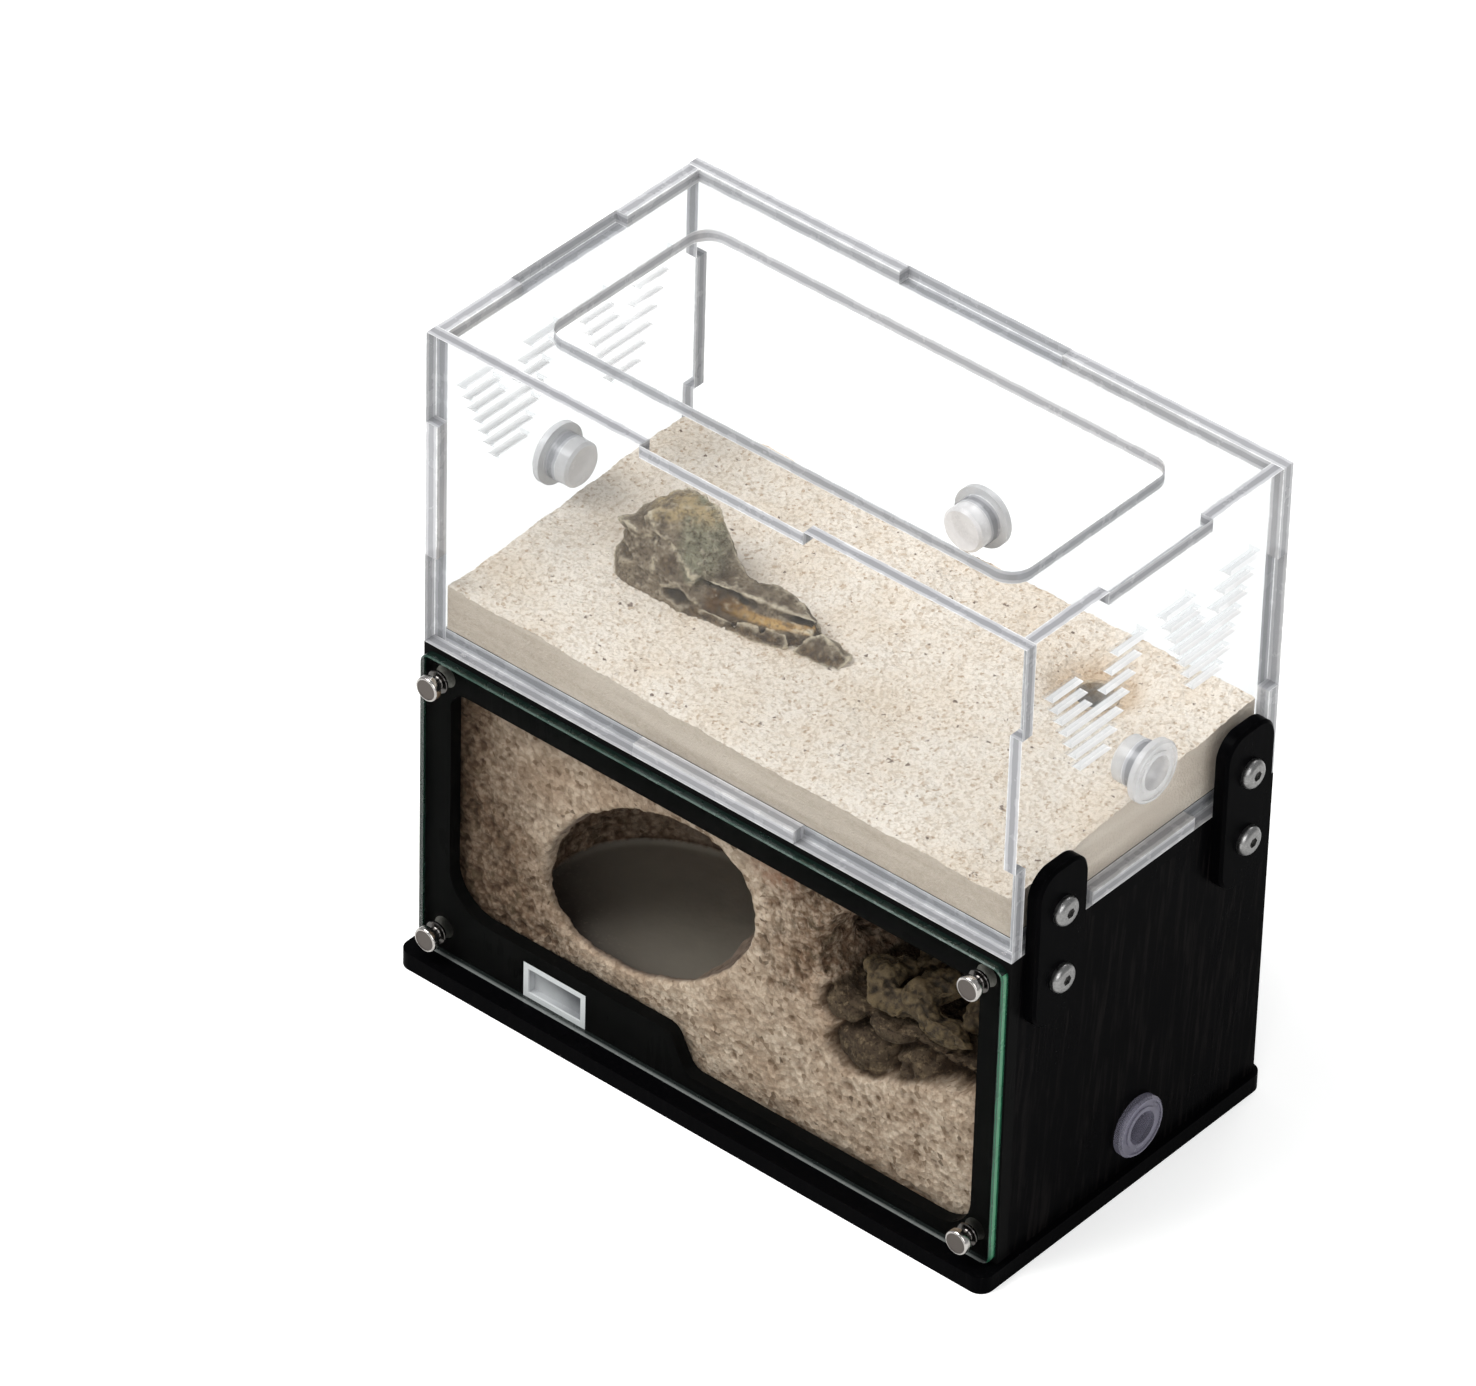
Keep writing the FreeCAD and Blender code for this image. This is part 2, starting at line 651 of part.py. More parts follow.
def build_landscape():
    """Sandy casting with a domed chamber, a rocky grotto and the galleries that join them."""
    casting = block(
        "casting", "box_length-2*sheet_thick-2*cast_gap",
        "box_depth-2*sheet_thick-cast_gap-cast_setback", "nest_height-sheet_thick-cast_gap",
        "-" + INNER_LENGTH + "+cast_gap", CAST_FRONT, "base_thick")
    mouth = bowl("mouth", "mouth_half_length", "mouth_half_height", "mouth_depth",
                 (MOUTH_X, "-" + INNER_DEPTH, MOUTH_Z), SIZES["mouth_tilt"])
    dome = bowl("dome", "room_half_length", "room_half_depth", "room_height",
                (ROOM_X, ROOM_Y, ROOM_Z), upward=True)
    behind_wall = block(
        "behind_wall", "2*room_half_length", "2*room_half_depth", "room_height",
        ROOM_X + "-room_half_length", CAST_FRONT + "+mouth_wall", ROOM_Z)
    room = common("room", dome, behind_wall)

    cavern = bowl("cavern", "grotto_half_length", "grotto_half_height", "grotto_depth",
                  (GROTTO_X, "-" + INNER_DEPTH, GROTTO_Z))
    above_floor = block(
        "above_floor", "2*grotto_half_length", "grotto_depth", "2*grotto_half_height",
        GROTTO_X + "-grotto_half_length", "-" + INNER_DEPTH, GROTTO_Z + "-grotto_floor_drop")
    grotto = common("grotto", cavern, above_floor)

    gallery = bore("gallery", "tunnel_diameter", GROTTO_X + "-" + MOUTH_X,
                   (MOUTH_X, GALLERY_Y, GROTTO_Z), (1, 0, 0))
    shaft = bore("shaft", "tunnel_diameter", "grotto_roof+grotto_half_height+cast_gap",
                 (PASSAGE_X, PASSAGE_Y, GROTTO_Z))
    link = bore("link", "tunnel_diameter", PASSAGE_Y + "-" + GALLERY_Y,
                (PASSAGE_X, PASSAGE_Y, GROTTO_Z), (0, -1, 0))
    port_z = "(base_thick+nest_port_height)"
    entry = bore("entry", "port_tunnel_diameter", "passage_side-sheet_thick",
                 (INNER_LENGTH, "nest_port_offset", port_z), (-1, 0, 0))
    riser = bore("riser", "tunnel_diameter", GROTTO_Z + "-" + port_z,
                 (PASSAGE_X, "nest_port_offset", port_z))
    tank_space = block(
        "tank_space", "tank_side+tank_length+tank_pocket_gap", "tank_depth+tank_pocket_gap",
        "tank_height+tank_pocket_gap", "-" + INNER_LENGTH, "-" + INNER_DEPTH, "base_thick")
    landscape = casting
    for hollow in (gallery, shaft, link, entry, riser, tank_space, grotto, mouth, room):
        carved = document.addObject("Part::Cut", "carved_" + hollow.Name)
        carved.Base, carved.Tool = landscape, hollow
        landscape = carved
    as_node(landscape, "nest_landscape")


def rock_solid(length, width, height, profile, stations, sides):
    """A faceted stone lofted along X through polygons that stand on Z = 0.

    profile(share) gives the width share, height share and sideways shift at a share of the length.
    """
    rings = []
    for station in range(stations):
        share = station / (stations - 1)
        wide, tall, shift = profile(share)
        ring = []
        for side in range(sides):
            turn = 2 * math.pi * (side + 0.5) / sides
            across = shift * width + 0.5 * wide * width * math.cos(turn)
            up = max(0.0, 0.5 * tall * height * (1 + 1.08 * math.sin(turn)))
            ring.append(FreeCAD.Vector(share * length, across, up))
        rings.append(Part.makePolygon(ring + ring[:1]))
    return Part.makeLoft(rings, True, True)


def lump(share):
    """Profile of a rounded stone with blunt ends."""
    bulge = math.sqrt(1 - 0.8 * (2 * share - 1) ** 2)
    return bulge, bulge, 0.04 * math.sin(2 * math.pi * share)


def hump_and_tail(share):
    """Profile of a stone with a tall block at its left end and a long tail that sinks."""
    hump = math.sqrt(max(0.0, 1 - (share / 0.21 - 1) ** 2))
    tail = (1 - share) ** 0.7
    return max(hump, 0.25 + 0.75 * tail), max(hump, 0.16 + 0.5 * tail), 0.03 * math.sin(9 * share)


def build_nest_rocks():
    """Stones piled on the floor of the grotto, two in front and two smaller ones behind."""
    floor_z = (SIZES["base_thick"] + SIZES["nest_height"] - SIZES["sheet_thick"] - SIZES["grotto_roof"]
               - SIZES["grotto_half_height"] - SIZES["grotto_floor_drop"])
    middle_x = (SIZES["box_length"] / 2 - SIZES["sheet_thick"] - SIZES["grotto_side"]
                - SIZES["grotto_half_length"])
    front_y = -SIZES["box_depth"] / 2 + SIZES["sheet_thick"] + SIZES["cast_setback"]
    stones = []
    for scale, along, behind, turn in (
            (1.0, -17.0, 8.0, 12.0), (0.95, 2.0, 9.0, -14.0), (0.7, -5.0, 19.0, 30.0), (0.65, 6.0, 21.0, -25.0)):
        stone = rock_solid(scale * SIZES["rock_length"], scale * SIZES["rock_width"],
                           scale * SIZES["rock_height"], lump, 5, 7)
        stone.rotate(FreeCAD.Vector(0, 0, 0), UPRIGHT, turn)
        stone.translate(FreeCAD.Vector(middle_x + along, front_y + behind, floor_z))
        stones.append(stone)
    pile = document.addObject("Part::Feature", "nest_rocks")
    pile.Shape = Part.makeCompound(stones)
    as_node(pile, "nest_rocks")


# ---------------------------------------------------------------- ports, passage, sand, stone

def build_plug(name, outward, along, across, up):
    """A cup-shaped plug with a flange, turned about its own axis and pushed in from outside."""
    body = new_body(name)
    profile = new_sketch(body, "XZ_Plane")
    depth = "-(sheet_thick+plug_reach)"
    groove_in = "cup_diameter/2+rib_width"
    groove_out = "flange_diameter/2-rib_width"
    add_outline(profile, [
        ("0", depth), ("plug_diameter/2-plug_lead", depth), ("plug_diameter/2", depth + "+plug_lead"),
        ("plug_diameter/2", "0"), ("flange_diameter/2", "0"),
        ("flange_diameter/2", "flange_thick-flange_round"),
        ("flange_diameter/2-flange_round", "flange_thick"),
        (groove_out, "flange_thick"), (groove_out, "flange_thick-rib_groove"),
        (groove_in, "flange_thick-rib_groove"), (groove_in, "flange_thick"),
        ("cup_diameter/2", "flange_thick"), ("cup_diameter/2", "flange_thick-cup_depth"),
        ("0", "flange_thick-cup_depth")])
    turned = body.newObject("PartDesign::Revolution", name + "_turned")
    turned.Profile = profile
    turned.ReferenceAxis = (profile, ["V_Axis"])
    turned.Angle = 360
    body.Placement.Rotation = FreeCAD.Rotation(UPRIGHT, FreeCAD.Vector(*outward))
    place(body, along, across, up)


def build_passage():
    """Tube from the nest's roof up to the surface of the sand."""
    outer = bore("tube_outer", "tube_outside", "2*sheet_thick+" + SAND_MIDDLE,
                 (PASSAGE_X, PASSAGE_Y, OUTWORLD_FLOOR + "-sheet_thick"))
    inner = bore("tube_inner", "tube_bore", "4*sheet_thick+sand_back",
                 (PASSAGE_X, PASSAGE_Y, OUTWORLD_FLOOR + "-2*sheet_thick"))
    tube = document.addObject("Part::Cut", "passage_tube")
    tube.Base, tube.Tool = outer, inner
    as_node(tube, "passage_tube")


def build_sand():
    """Bed that rises towards the back wall and dips to the mouth of the passage tube."""
    bed = document.addObject("Part::Wedge", "sand_bed")
    bind(bed, Xmin="-" + SAND_HALF_LENGTH, Xmax=SAND_HALF_LENGTH,
         X2min="-" + SAND_HALF_LENGTH, X2max=SAND_HALF_LENGTH,
         Ymin="-" + SAND_HALF_DEPTH, Ymax=SAND_HALF_DEPTH,
         Zmin="0", Z2min="0", Zmax="sand_front", Z2max="sand_back")
    place(bed, up=SAND_FLOOR)
    hole = bore("sand_hole", "tube_outside+2*tube_clearance", "sand_back+sheet_thick",
                (PASSAGE_X, PASSAGE_Y, OUTWORLD_FLOOR))
    funnel = document.addObject("Part::Cone", "funnel")
    bind(funnel, Radius1=TUBE_HOLE, Radius2="funnel_rim", Height="funnel_depth")
    place(funnel, PASSAGE_X, PASSAGE_Y, SAND_FLOOR + "+" + SAND_MIDDLE)
    dip = document.addObject("Part::Fuse", "sand_dip")
    dip.Base, dip.Tool = hole, funnel
    sand = document.addObject("Part::Cut", "sand_layer")
    sand.Base, sand.Tool = bed, dip
    as_node(sand, "sand_layer")


def build_decor_stone():
    """A long weathered stone, tall at its left end, lying square on the slope of the sand."""
    stone = document.addObject("Part::Feature", "decor_stone")
    stone.Shape = rock_solid(SIZES["stone_length"], SIZES["stone_width"], SIZES["stone_height"],
                             hump_and_tail, 11, 8)
    run = SIZES["box_depth"] - 2 * SIZES["sheet_thick"]
    rise = SIZES["sand_back"] - SIZES["sand_front"]
    slope = math.atan2(rise, run)
    x = -SIZES["box_length"] / 2 + SIZES["stone_side"]
    behind_wall = SIZES["stone_front"] - SIZES["sheet_thick"]
    y = -SIZES["box_depth"] / 2 + SIZES["stone_front"]
    z = (SIZES["base_thick"] + SIZES["nest_height"] + SIZES["sheet_thick"] + SIZES["sand_front"]
         + behind_wall * math.tan(slope) + SIZES["stone_seat"])
    lean = FreeCAD.Rotation(SIDEWAYS, math.degrees(slope))
    turn = FreeCAD.Rotation(UPRIGHT, SIZES["stone_turn"])
    stone.Placement = FreeCAD.Placement(FreeCAD.Vector(x, y, z), lean.multiply(turn))
    as_node(stone, "decor_stone")


# ---------------------------------------------------------------- straps and screws

def is_strap_rim(edge):
    """True for the outer outline of a strap's front face, and not for its screw holes."""
    on_face = abs(edge.CenterOfMass.x - SIZES["strap_thick"]) < EDGE_TOLERANCE
    whole_circle = len(edge.Vertexes) == 1
    flat = edge.BoundBox.XLength < EDGE_TOLERANCE
    return on_face and flat and not whole_circle


def build_straps():
    """Two straps on the right-hand side, each across the joint between the boxes."""
    for name, across in (("strap_front", "-" + STRAP_Y), ("strap_back", STRAP_Y)):
        body = new_body(name)
        outline = new_sketch(body, "YZ_Plane")
        add_rectangle(outline, "-strap_width/2", "strap_width/2", "-strap_height/2", "strap_height/2")
        for v in ("-screw_rise", "screw_rise"):
            add_circle(outline, "0", v, "(screw_diameter+screw_clearance)/2")
        plate = pad(body, outline, "strap_thick")
        rounded = round_edges(body, plate, "strap_corner", lambda edge: is_along(edge, SIDEWAYS))
        bevel_edges(body, rounded, "strap_edge", is_strap_rim)
        place(body, HALF_LENGTH, across, OUTWORLD_FLOOR)


def build_screw(name, across, up):
    """Button-head screw with a hexagon socket, its axis along +X."""
    body = new_body(name, is_node=False)
    rim = new_sketch(body, "YZ_Plane")
    add_circle(rim, "0", "0", "screw_head/2")
    head = pad(body, rim, "screw_head_height")
    round_edges(body, head, "screw_dome",
                lambda edge: abs(edge.CenterOfMass.x - SIZES["screw_head_height"]) < EDGE_TOLERANCE)
    shank = new_sketch(body, "YZ_Plane")
    add_circle(shank, "0", "0", "screw_diameter/2")
    pad(body, shank, "strap_thick+sheet_thick", reverse=True)
    socket = new_sketch(body, "YZ_Plane", "screw_head_height")
    turns = [math.pi * side / 3 for side in range(6)]
    add_outline(socket, [("%.6f*hex_across_corners/2" % math.cos(turn),
                          "%.6f*hex_across_corners/2" % math.sin(turn)) for turn in turns])
    recess = body.newObject("PartDesign::Pocket", name + "_socket")
    recess.Profile = socket
    bind(recess, Length="hex_depth")
    place(body, "box_length/2+strap_thick", across, up)
    return body


def build_screws():
    screws = []
    for side, across in (("front", "-" + STRAP_Y), ("back", STRAP_Y)):
        for level, sign in (("upper", "+"), ("lower", "-")):
            screws.append(build_screw("screw_%s_%s" % (side, level), across,
                                      OUTWORLD_FLOOR + sign + "screw_rise"))
    group = document.addObject("Part::Compound", "strap_screws")
    group.Links = screws
    as_node(group, "strap_screws")


def build_plugs():
    port_up = OUTWORLD_FLOOR + "+port_height"
    build_plug("plug_left", (-1, 0, 0), "-" + HALF_LENGTH, "0", port_up)
    build_plug("plug_right", (1, 0, 0), HALF_LENGTH, "0", port_up)
    build_plug("plug_back", (0, 1, 0), "0", HALF_DEPTH, port_up)
    build_plug("plug_nest", (1, 0, 0), HALF_LENGTH, "nest_port_offset", "base_thick+nest_port_height")


def check_and_write():
    """Refuse a failed or empty object, then write each node as a STEP file of its own name."""
    document.recompute()
    for item in document.Objects:
        if "Invalid" in item.State or "Error" in item.State:
            raise RuntimeError("%s did not build" % item.Label)
    for node in nodes:
        if node.Shape.isNull() or not node.Shape.isValid() or not node.Shape.Solids:
            raise RuntimeError("%s has no valid solid" % node.Label)
    os.makedirs("parts", exist_ok=True)
    for node in nodes:
        node.Shape.exportStep("parts/%s.step" % node.Label)


build_base_plate()
build_nest_panels()
build_front_frame()
build_magnets()
build_glass_and_knobs()
build_water_tank()
build_landscape()
build_nest_rocks()
build_outworld()
build_plugs()
build_passage()
build_sand()
build_decor_stone()
build_straps()
build_screws()
check_and_write()
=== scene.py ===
"""The looks of the ant habitat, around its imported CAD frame. Lengths are in mm, and in the studio in m."""
import math

import bmesh
import bpy
import numpy as np
from mathutils import Matrix, Vector, noise


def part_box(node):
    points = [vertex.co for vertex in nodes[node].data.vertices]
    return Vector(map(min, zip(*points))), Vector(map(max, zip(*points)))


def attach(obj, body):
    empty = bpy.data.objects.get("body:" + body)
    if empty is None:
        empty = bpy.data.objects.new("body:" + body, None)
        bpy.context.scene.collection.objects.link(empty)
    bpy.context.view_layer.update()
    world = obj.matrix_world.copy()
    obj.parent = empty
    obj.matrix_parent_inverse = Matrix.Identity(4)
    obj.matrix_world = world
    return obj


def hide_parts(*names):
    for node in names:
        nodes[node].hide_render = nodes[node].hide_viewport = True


MM = 0.001
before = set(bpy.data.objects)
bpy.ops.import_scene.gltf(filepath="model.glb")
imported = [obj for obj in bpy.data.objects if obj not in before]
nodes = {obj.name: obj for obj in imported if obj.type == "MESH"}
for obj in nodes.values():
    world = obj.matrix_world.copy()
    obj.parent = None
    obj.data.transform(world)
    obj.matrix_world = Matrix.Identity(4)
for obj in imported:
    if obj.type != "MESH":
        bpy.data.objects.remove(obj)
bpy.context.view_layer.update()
scene = bpy.context.scene
scene.view_settings.view_transform = "Standard"
scene.cycles.transparent_max_bounces = 24


# ---------------- node helpers
def srgb(*values):
    """A colour given as 0..255 screen values, as linear RGBA."""
    shares = [v / 255 for v in values]
    return tuple(v / 12.92 if v <= 0.04045 else ((v + 0.055) / 1.055) ** 2.4 for v in shares) + (1.0,)


def darker(colour, share):
    """A colour brought down to a share of its light."""
    return tuple(c * share for c in colour[:3]) + (1,)


class Shader:
    """A new material, or a world that is given, and short calls that add nodes to it."""

    def __init__(self, name, world=None):
        self.owner = world or bpy.data.materials.new(name)
        self.owner.use_nodes = True
        self.tree = self.owner.node_tree
        self.tree.nodes.clear()
        self._object = None

    def add(self, kind, inputs=(), **settings):
        node = self.tree.nodes.new("ShaderNode" + kind)
        for key, value in settings.items():
            setattr(node, key, value)
        for key, value in dict(inputs).items():
            self.feed(node.inputs[key], value)
        return node

    def feed(self, socket, value):
        if isinstance(value, bpy.types.NodeSocket):
            self.tree.links.new(value, socket)
        else:
            socket.default_value = value

    def object_mm(self, stretch=(1, 1, 1)):
        """Object coordinates in millimetres, stretched per axis."""
        if self._object is None:
            self._object = self.add("TexCoord").outputs["Object"]
        scale = tuple(share / MM for share in stretch)
        return self.add("Mapping", {"Vector": self._object, "Scale": scale}).outputs["Vector"]

    def place(self, axis):
        """The x, y or z of a point, in millimetres."""
        return self.vector_math("DOT_PRODUCT", self.object_mm(), AXES[axis])

    def facing(self, axis):
        """How far a face looks along an axis, -1 to 1."""
        return self.vector_math("DOT_PRODUCT", self.add("NewGeometry").outputs["Normal"], AXES[axis])

    def math(self, operation, *values, clamp=False):
        return self.add("Math", enumerate(values), operation=operation, use_clamp=clamp).outputs[0]

    def times(self, first, second, clamp=False):
        return self.math("MULTIPLY", first, second, clamp=clamp)

    def vector_math(self, operation, *values):
        node = self.add("VectorMath", enumerate(values), operation=operation)
        return node.outputs["Value" if operation in ("DOT_PRODUCT", "LENGTH") else "Vector"]

    def noise(self, size, detail=3.0, roughness=0.55, stretch=(1, 1, 1)):
        """Noise whose features are about size millimetres."""
        return self.add("TexNoise", {
            "Vector": self.object_mm(stretch), "Scale": 1 / size, "Detail": detail, "Roughness": roughness,
        }).outputs[0]

    def cells(self, size, output="Color"):
        """Cells about size millimetres wide: a colour for each, or the distance from its middle."""
        return self.add("TexVoronoi", {"Vector": self.object_mm(), "Scale": 1 / size}).outputs[output]

    def ramp(self, factor, stops, interpolation="LINEAR"):
        """A colour from a list of (place, colour)."""
        node = self.add("ValToRGB", {"Fac": factor})
        ramp = node.color_ramp
        ramp.interpolation = interpolation
        while len(ramp.elements) < len(stops):
            ramp.elements.new(0.5)
        for element, (place, colour) in zip(ramp.elements, stops):
            element.position = place
            element.color = colour
        return node.outputs["Color"]

    def levels(self, factor, low, high, out_low=0.0, out_high=1.0, smooth=False):
        """The range low to high, stretched to out_low to out_high and kept within it."""
        return self.add("MapRange", {
            "Value": factor, "From Min": low, "From Max": high, "To Min": out_low, "To Max": out_high,
        }, interpolation_type="SMOOTHSTEP" if smooth else "LINEAR").outputs[0]

    def mix(self, factor, first, second, mode="MIX"):
        """Two colours mixed. Inputs 6 and 7 and output 2 are the node's colours."""
        colours = {0: factor, 6: first, 7: second}
        return self.add("Mix", colours, data_type="RGBA", blend_type=mode).outputs[2]

    def attribute(self, name):
        return self.add("Attribute", attribute_name=name).outputs["Fac"]

    def bump(self, height, distance, strength):
        return self.add("Bump", {
            "Height": height, "Distance": distance * MM, "Strength": strength,
        }).outputs["Normal"]

    def solid(self, colour, roughness, normal, specular=0.5, metallic=0.0):
        """A surface that light doesn't pass."""
        return self.add("BsdfPrincipled", {
            "Base Color": colour, "Roughness": roughness, "Normal": normal,
            "Specular IOR Level": specular, "Metallic": metallic,
        }).outputs[0]

    def clear(self, colour):
        return self.add("BsdfTransparent", {"Color": colour}).outputs[0]

    def blend(self, factor, first, second):
        return self.add("MixShader", {0: factor, 1: first, 2: second}).outputs[0]

    def finish(self, surface, output="OutputMaterial"):
        """The material, or the world, with its surface in place."""
        self.feed(self.add(output).inputs["Surface"], surface)
        return self.owner


# ---------------- materials
AXES = {"x": (1, 0, 0), "y": (0, 1, 0), "z": (0, 0, 1)}
CLEAR_PLASTIC = (0.95, 0.95, 0.96, 1)


def across(s, axis, middle, half):
    """How far a point is from a sheet's middle plane, 0 to 1 at its faces."""
    away = s.math("ABSOLUTE", s.math("SUBTRACT", s.place(axis), middle))
    return s.math("DIVIDE", away, half)


def on_face(s, axis):
    """1 on a sheet's two large faces, 0 on its cut edges."""
    return s.math("GREATER_THAN", s.math("ABSOLUTE", s.facing(axis)), 0.75)


def sheen_share(s, head_on, start):
    """How much a clear face mirrors: head_on when seen head-on, and more at angles past start."""
    facing = s.levels(s.add("LayerWeight", {"Blend": 0.5}).outputs["Facing"], start, 1)
    glancing = s.math("POWER", facing, 5)  # as Schlick has it for glass
    return s.math("MULTIPLY_ADD", glancing, 0.35, head_on)


# the grilles in the end walls: a box about both, as low and high x, y and z; the rows of their slots
# from the top down; and how far out the slots' lower faces turn frosted
VENTS = ((-80, 80), (-34, 34), (111, 149))
SLOT_TOP, SLOT_PITCH, SLOT_HEIGHT = 138.0, 3.6, 1.3
FROST_FROM, FROST_TO = 72.7, 73.1


def in_grilles(s):
    """1 inside the box about both grilles."""
    split = s.add("SeparateXYZ", {"Vector": s.object_mm()})
    share = 1.0
    for place, (low, high) in zip(split.outputs, VENTS):
        share = s.times(share, s.math("COMPARE", place, (low + high) / 2, (high - low) / 2))
    return share


def slot_floors(s):
    """1 on the lower face of each slot of the vents, on the outer part of the wall's thickness."""
    drop = s.math("SUBTRACT", SLOT_TOP, s.place("z"))
    row = s.math("FRACT", s.math("DIVIDE", drop, SLOT_PITCH))
    frosted = s.levels(s.math("ABSOLUTE", s.place("x")), FROST_FROM, FROST_TO)
    return s.times(frosted, s.math("COMPARE", row, SLOT_HEIGHT / SLOT_PITCH, 0.05))


# the glass's edges, with painted light and shade: where the line along the upper and the lower edge begins
# and ends in y, a height between the two edges, and x to the left of which an edge is the left one
PANE_UPPER_LINE, PANE_LOWER_LINE = (-41.95, -41.35), (-41.4, -40.7)
PANE_MIDDLE, PANE_LEFT = 40, -60


def pane_edges(s, shade):
    """The glass's edges: painted shade on the left and above, and a painted highlight low in front."""
    level = s.math("ABSOLUTE", s.facing("z"))
    x, y, z = s.add("SeparateXYZ", {"Vector": s.object_mm()}).outputs
    # painted shade along the upper edge, and a painted highlight along the front of the lower edge
    upper = s.mix(s.levels(y, *PANE_UPPER_LINE), srgb(34, 66, 54), srgb(16, 29, 25))
    lower = s.mix(s.levels(y, *PANE_LOWER_LINE), srgb(132, 135, 134), srgb(30, 35, 34))
    level_shade = s.mix(s.math("LESS_THAN", z, PANE_MIDDLE), upper, lower)
    # painted shade on the left edge, in dark green
    shade = s.mix(s.math("LESS_THAN", x, PANE_LEFT), shade, srgb(24, 52, 42))
    return s.mix(s.math("GREATER_THAN", level, 0.5), shade, level_shade)


def clear_sheet(name, axis, middle, half, tint, core, body, rim, edge_solid=0.92, face_gloss=0.02,
                sheen_start=0.0, vented=False, pane=False):
    """A see-through sheet: clear faces with a thin sheen, and cut edges that gather light.

    The edges go from core in the middle of the thickness through body to rim at the faces.
    """
    s = Shader(name)
    haze = s.noise(34, 2)
    face_tint = s.mix(s.levels(haze, 0.35, 0.7), tint, darker(tint, 0.975))
    sheen = s.add("BsdfGlossy", {"Color": (1, 1, 1, 1), "Roughness": s.levels(haze, 0.3, 0.75, 0.02, 0.07)})
    face = s.blend(sheen_share(s, face_gloss, sheen_start), s.clear(face_tint), sheen.outputs[0])
    profile = across(s, axis, middle, half)
    wander = s.noise(5, 3, 0.6)
    # painted light over the edge's own frosted tone: bright and dark bands across the thickness stand for
    # light caught inside the sheet
    shade = s.ramp(s.math("ADD", profile, s.levels(wander, 0.3, 0.7, -0.1, 0.1)),
                   [(0.0, core), (0.34, core), (0.52, body), (0.8, body), (0.97, rim)])
    solid = edge_solid
    if vented:
        grille = in_grilles(s)
        shade = s.mix(grille, shade, srgb(250, 249, 248))
        change = s.math("MULTIPLY_ADD", slot_floors(s), 0.9, 0.04 - edge_solid)
        solid = s.math("MULTIPLY_ADD", grille, change, edge_solid)
    if pane:
        shade = pane_edges(s, shade)
    ripples = s.bump(s.noise(0.7, 2, 0.5), 0.05, 0.4)
    cut = s.solid(shade, s.levels(wander, 0.3, 0.7, 0.14, 0.34), ripples, specular=0.6)
    return s.finish(s.blend(on_face(s, axis), s.blend(solid, s.clear(tint), cut), face))


def black_sheet(name, streaks, base=srgb(5, 5, 6)):
    """Black acrylic, with faint upright streaks that lean a little on the sides: a painted reflection of
    wood.
    """
    s = Shader(name)
    soft = s.noise(18)
    leaning = s.add("VectorRotate", {"Vector": s.object_mm(), "Angle": 0.07}, rotation_type="X_AXIS")
    grain = s.add("Mapping", {"Vector": leaning.outputs[0], "Scale": (1, 1, 0.07)}).outputs[0]
    reflected_wood = s.add("TexNoise", {
        "Vector": grain, "Scale": 0.85, "Detail": 4.0, "Roughness": 0.62, "Distortion": 0.5}).outputs[0]
    # painted reflection: charcoal streaks of wood grain mirrored in the black face
    colour = s.mix(s.levels(reflected_wood, 0.5, 0.66, 0, streaks), base, srgb(22, 20, 20))
    worn = s.levels(reflected_wood, 0.45, 0.7, 0, 0.14 * streaks)
    relief = s.math("ADD", s.times(reflected_wood, streaks), s.times(soft, 0.3))
    rough = s.math("ADD", s.levels(soft, 0.3, 0.7, 0.24, 0.36), worn)
    return s.finish(s.solid(colour, rough, s.bump(relief, 0.04, 0.3), specular=0.008))


def steel(name, colour, rough_low, rough_high):
    """Plated steel, a little worn."""
    s = Shader(name)
    wear = s.noise(0.6, 4, 0.6)
    tone = s.mix(s.levels(wear, 0.35, 0.7), colour, darker(colour, 0.72))
    rough = s.levels(wear, 0.3, 0.7, rough_low, rough_high)
    return s.finish(s.solid(tone, rough, s.bump(s.noise(0.25, 2), 0.02, 0.25), metallic=1.0))


def milky(name, colour, solid):
    """Soft clear plastic, solid to the share given and more at its outline."""
    s = Shader(name)
    cloud = s.noise(2.5)
    tone = s.mix(s.levels(cloud, 0.3, 0.7), colour, darker(colour, 0.88))
    rough = s.levels(cloud, 0.3, 0.7, 0.16, 0.3)
    body = s.solid(tone, rough, s.bump(s.noise(1.1, 2), 0.04, 0.35), specular=0.7)
    facing = s.add("LayerWeight", {"Blend": 0.35}).outputs["Facing"]
    amount = s.math("ADD", solid, s.times(facing, 1 - solid), clamp=True)
    return s.finish(s.blend(amount, s.clear(CLEAR_PLASTIC), body))


def dusty_tube():
    """Clear tube, dusted with sand towards its mouth."""
    s = Shader("tube_dusty")
    towards_mouth = s.levels(s.place("z"), TUBE_TOP - 9.25, TUBE_TOP - 0.65, 0, 0.9)
    dust = s.math("ADD", towards_mouth, s.levels(s.noise(1.4, 4), 0.3, 0.7, -0.15, 0.15), clamp=True)
    sandy = s.mix(s.levels(s.noise(0.6), 0.36, 0.62), srgb(206, 184, 152), srgb(166, 140, 106))
    tone, rough = s.mix(dust, srgb(214, 218, 220), sandy), s.levels(dust, 0, 1, 0.2, 0.85)
    body = s.solid(tone, rough, s.bump(s.noise(0.5), 0.12, 0.5), specular=0.4)
    return s.finish(s.blend(s.levels(dust, 0, 1, 0.3, 0.97), s.clear(CLEAR_PLASTIC), body))


def grain_colours(s, size, light, mid, tan, dark):
    """A mix of sand grains, each with a colour of its own."""
    pick = s.vector_math("DOT_PRODUCT", s.cells(size), (0.6, 0.4, 0.0))
    return s.ramp(
        pick, [(0.0, light), (0.42, mid), (0.68, light), (0.8, tan), (0.9, mid), (0.95, dark)], "CONSTANT")


